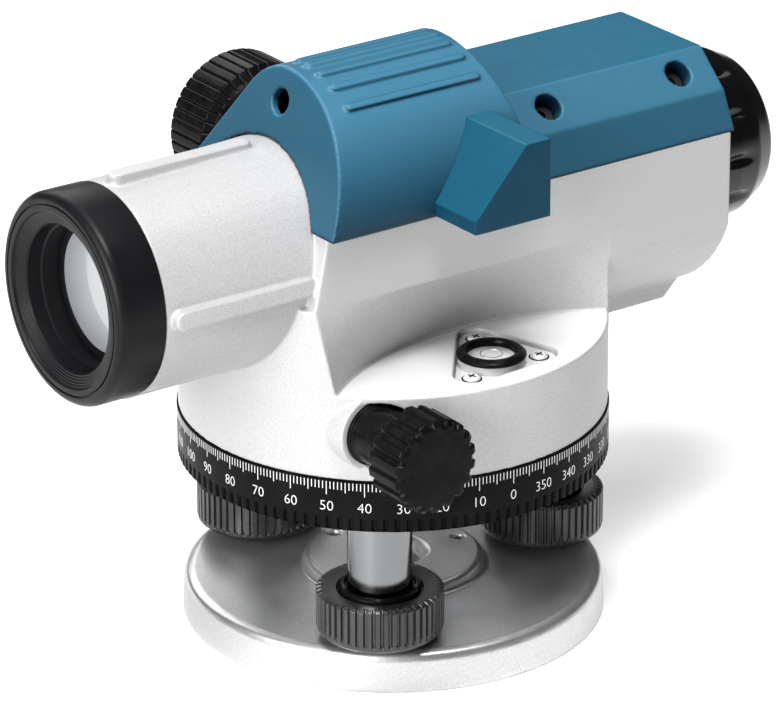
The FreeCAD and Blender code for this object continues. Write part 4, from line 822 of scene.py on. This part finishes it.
def objective_ring():
    """The rubber ring, with a groove in its face and a stepped thread inside."""
    node = "objective_ring"
    low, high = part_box(node)
    radius = span(node).y / 2 / MM - 0.02
    shoulder = TUBE_FRONT - low.x / MM
    spigot = high.x / MM - TUBE_FRONT
    outline = rounded([
        (20.1, -spigot, 0), (25.3, -spigot, 0), (25.3, 0, 0), (radius - 0.05, 0, 0.4),
        *brow_profile(radius, shoulder),
        (24.6, shoulder, 0.1), (24.45, shoulder - 0.45, 0), (24.2, shoulder - 0.45, 0), (24.05, shoulder, 0.1),
        (22.6, shoulder, 0.4),
        *thread_profile(shoulder),
        (18.75, shoulder - 2.4, 0.3), (18.6, shoulder - 6.0, 0), (18.0, shoulder - 6.3, 0),
        (18.0, 2.2, 0), (16.4, 2.0, 0.2), (16.3, 0.1, 0), (20.1, 0, 0)])
    mesh = lathe(outline, objective_place(), 240, sharp=GROOVED_CREASE)
    new_piece("objective_armour", mesh, RUBBER, "alidade", (node,))


def front_lens():
    """The objective's front lens, with a domed face."""
    dome = []
    for i in range(LENS_STEPS, 0, -1):
        out = i / LENS_STEPS
        dome.append((LENS_RADIUS * out, LENS_FRONT - LENS_SAG * out ** 2, 0))
    outline = rounded([
        (ON_AXIS, LENS_BACK, 0), (LENS_EDGE, LENS_BACK, 0), (LENS_EDGE, -1.2, 0), (LENS_RADIUS, -0.8, 0),
        *dome, (ON_AXIS, LENS_FRONT, 0)])
    # the front lens is drawn in an opaque pale grey: painted reflection
    new_piece("objective_front_lens", lathe(outline, objective_place(), 120), LENS_PAINTED_REFLECTION, "alidade",
              ("objective_lens_front",))


def finger_dents(angle, radius, height):
    """Shallow dents round the eyepiece's widest part, fading out both ways."""
    wave = max(0.0, math.cos(angle * DENTS)) ** 3
    lengthwise = ease(1 - abs(height - DENT_MIDDLE) / DENT_MIDDLE)
    inwards = ease((radius - DENT_INSIDE) / DENT_FADE)
    return DENT_DEPTH * wave * lengthwise * inwards


def eyepiece_cap():
    """The round-shouldered cap, with finger dents and an eye hole."""
    node = "eyepiece_cap"
    low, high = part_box(node)
    length = (high.x - low.x) / MM
    radius = span(node).y / 2 / MM
    outline = divided(rounded([
        (12.1, 0, 0), (radius - 2.2, 0, 0.6), (radius - 0.4, 2.4, 2.0), (radius, 8, 3.0),
        (radius - 0.2, length - 10, 4.0), (radius - 3.2, length - 3.6, 4.0),
        (radius - 9, length - 0.4, 4.0), (9.4, length, 1.0), (7.6, length - 0.9, 0.6),
        (6.5, length - 1.8, 0.3), (6.5, length - 6, 0), (12.1, length - 6, 0)]), 0.9 * MM)
    place = along((1, 0, 0), (low.x, 0, middle(node).z))
    mesh = lathe(outline, place, DENTS * DENT_STEPS, finger_dents, GROOVED_CREASE)
    new_piece("eyepiece_cap_grip", mesh, GLOSSY, "eyepiece", (node,))


# ---------------------------------------------------------------- bubble

SCREW_PLACES = [(-7.6, -44.6), (14.6, -43.2), (8.6, -24.4)]
SCREW_TOP = 0.9
CROSS_TURN = 0.4
CUP_BORE = 6.9
WINDOW_RADIUS = 6.15


def bubble_rim():
    """A thin black rim on a silver skirt."""
    seat, height = standing("bubble_rim")
    foot = height - 1.9
    rim = rounded([
        (CUP_BORE, foot, 0), (8.5, foot, 0.2), (9.0, height - 1.6, 0.5), (9.0, height - 0.9, 0.8),
        (7.8, height, 1.0), (6.5, height - 0.1, 0.4), (6.2, height - 0.8, 0.2), (6.3, foot, 0)])
    new_piece("bubble_rim_ring", lathe(rim, seat, 120), BLACK, "alidade", ("bubble_rim",))
    skirt = rounded([(CUP_BORE, 0, 0), (8.6, 0, 0.2), (8.5, foot, 0), (CUP_BORE, foot, 0)])
    new_piece("bubble_cup_skirt", lathe(skirt, seat, 120), SILVER, "alidade")


def bubble_window():
    """The vial's domed top with its setting ring."""
    seat = standing("bubble_rim")[0]
    top = (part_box("bubble_glass")[1].z - seat.translation.z) / MM
    dome = rounded([
        (ON_AXIS, top - 2.6, 0), (WINDOW_RADIUS, top - 2.6, 0), (WINDOW_RADIUS, top - 0.7, 0.2),
        (3.5, top - 0.2, 3.0), (ON_AXIS, top - 0.05, 0)])
    new_piece("bubble_vial", lathe(dome, seat, 96), LIQUID, "alidade", ("bubble_glass",))
    ring = rounded([(2.7, top - 0.4, 0), (2.95, top - 0.4, 0), (2.95, top - 0.08, 0), (2.7, top - 0.05, 0)])
    new_piece("bubble_setting_ring", lathe(ring, seat, 96), STEEL, "alidade")


def screw_cross(seat):
    """The cross in a screw's head: two thin raised bars, made black below as painted shade in place of the
    cross recess.
    """
    bars = []
    for turn in (CROSS_TURN, CROSS_TURN + math.pi / 2):
        bar = flat_bar(0.55 * MM, -1.15 * MM, 1.15 * MM, 0.03 * MM)
        bar.transform(seat @ Matrix.Translation((0, 0, SCREW_TOP * MM)) @ Matrix.Rotation(turn, 4, "Z"))
        bars.append(bar)
    return bars


def bubble_screws():
    """Setting screws round the bubble, each with a dark ring at its foot and a black cross of painted shade
    standing in for its recess.
    """
    head = rounded([
        (ON_AXIS, -0.6, 0), (2.2, -0.6, 0), (2.2, 0.35, 0.2), (1.7, 0.85, 0.3), (1.0, SCREW_TOP, 0.1),
        (ON_AXIS, SCREW_TOP, 0)])
    groove = rounded([(2.25, 0, 0), (2.65, 0, 0.1), (2.65, 0.12, 0.1), (2.25, 0.12, 0)])
    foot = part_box("bubble_rim")[0].z
    heads = []
    marks = []
    for x, y in SCREW_PLACES:
        seat = Matrix.Translation((x * MM, y * MM, foot))
        heads.append(lathe(head, seat, 60))
        marks.append(lathe(groove, seat, 60))
        marks += screw_cross(seat)
    new_piece("bubble_screw_heads", joined(heads), ZINC, "alidade", ("bubble_screws",))
    # painted shade: the black crosses stand in for the shaded cross recesses
    new_piece("bubble_screw_crosses", joined(marks), BLACK, "alidade")


# ---------------------------------------------------------------- carried-over nodes

KEPT = {
    "worm_wheel": BRASS, "tribrach_body": ALUMINIUM, "drum_plate": ALUMINIUM, "pendulum_frame": ALUMINIUM,
    "cover_screws": ANODISED, "objective_cell": ANODISED, "focus_guide": ANODISED, "focus_carriage": ANODISED,
    "focus_bush": ANODISED, "compensator_frame": ANODISED, "eyepiece_tube": ANODISED,
    "reticle_cell": ANODISED, "eyepiece_cell": ANODISED, "bubble_cup": SILVER,
    "objective_lens_rear": GLASS, "focus_lens": GLASS, "prism_front": GLASS, "prism_rear": GLASS,
    "reticle_glass": GLASS, "eyepiece_lens": GLASS, "bubble_mirror": MIRROR, "pendulum_mirror": MIRROR,
}


def finish_kept_nodes():
    """Gives each CAD node its material; screws, spindles, nuts and plates that aren't listed are steel."""
    for name, node in NODES.items():
        node.data.materials.clear()
        node.data.materials.append(KEPT.get(name, STEEL))


# ---------------------------------------------------------------- studio

CAMERA_AZIMUTH = math.radians(-35.630)
CAMERA_ELEVATION = math.radians(22.853)
CAMERA_ROLL = math.radians(-0.205)
CAMERA_DISTANCE = 1.3269
CAMERA_AIM = Vector((-0.00098, 0.00070, 0.07074))
CAMERA_LENS = 237.77
SENSOR_WIDTH = 36
LIGHT_AIM = (0, 0, 0.09)
SKY_STRENGTH = 0.04
FLOOR_HALF = 4.0


def camera():
    """A long lens from the front left, looking down on the instrument."""
    data = bpy.data.cameras.new("camera")
    data.lens = CAMERA_LENS
    data.sensor_width = SENSOR_WIDTH
    data.clip_start = 0.05
    data.clip_end = 20
    made = bpy.data.objects.new("camera", data)
    bpy.context.scene.collection.objects.link(made)
    back = Vector((math.sin(CAMERA_AZIMUTH) * math.cos(CAMERA_ELEVATION),
                   -math.cos(CAMERA_AZIMUTH) * math.cos(CAMERA_ELEVATION), math.sin(CAMERA_ELEVATION)))
    right = Vector((math.cos(CAMERA_AZIMUTH), math.sin(CAMERA_AZIMUTH), 0))
    up = back.cross(right)
    across = right * math.cos(CAMERA_ROLL) + up * math.sin(CAMERA_ROLL)
    upward = up * math.cos(CAMERA_ROLL) - right * math.sin(CAMERA_ROLL)
    made.matrix_world = Matrix.Translation(CAMERA_AIM + back * CAMERA_DISTANCE) @ Matrix(
        (across, upward, back)).transposed().to_4x4()
    bpy.context.scene.camera = made


def softbox(name, place, width, height, power):
    """A rectangular white light that faces the instrument."""
    data = bpy.data.lights.new(name, "AREA")
    data.shape = "RECTANGLE"
    data.size = width
    data.size_y = height
    data.energy = power
    lamp = bpy.data.objects.new(name, data)
    bpy.context.scene.collection.objects.link(lamp)
    lamp.location = place
    lamp.rotation_mode = "QUATERNION"
    lamp.rotation_quaternion = (Vector(LIGHT_AIM) - Vector(place)).to_track_quat("-Z", "Y")


def studio():
    """Soft lights, a faint even sky and a pale floor."""
    world = bpy.data.worlds.new("studio")
    bpy.context.scene.world = world
    world.use_nodes = True
    sky = world.node_tree.nodes["Background"]
    sky.inputs["Color"].default_value = (1, 1, 1, 1)
    sky.inputs["Strength"].default_value = SKY_STRENGTH
    softbox("overhead", (0.0, 0.0, 1.5), 1.2, 1.2, 12)
    softbox("key", (-0.25, -0.44, 1.43), 0.5, 0.5, 22)
    softbox("low_left", (-1.25, -0.5, 0.45), 0.7, 0.5, 17)
    softbox("left", (-1.3, -0.1, 0.8), 0.9, 0.9, 13)
    softbox("rear", (0.2, 1.1, 0.9), 0.9, 0.9, 8)
    mesh = bpy.data.meshes.new("floor")
    corners = [(x * FLOOR_HALF, y * FLOOR_HALF, 0) for x, y in ((-1, -1), (1, -1), (1, 1), (-1, 1))]
    mesh.from_pydata(corners, [], [(0, 1, 2, 3)])
    floor = bpy.data.objects.new("floor", mesh)
    bpy.context.scene.collection.objects.link(floor)
    mesh.materials.append(floor_paper())
    bpy.context.scene.view_settings.view_transform = "Standard"


# ---------------------------------------------------------------- everything

finish_kept_nodes()
castings()
for foot in (1, 2, 3):
    foot_knob(foot)
    foot_sleeve(foot)
    foot_collar(foot)
ring_radius, ring_top = circle_ring()
circle_scale(ring_radius, ring_top)
for name, side in (("left", -1), ("right", 1)):
    tangent_knob(name, side)
    tangent_bush(name, side)
focus_knob()
objective_ring()
front_lens()
eyepiece_cap()
bubble_rim()
bubble_window()
bubble_screws()
camera()
studio()
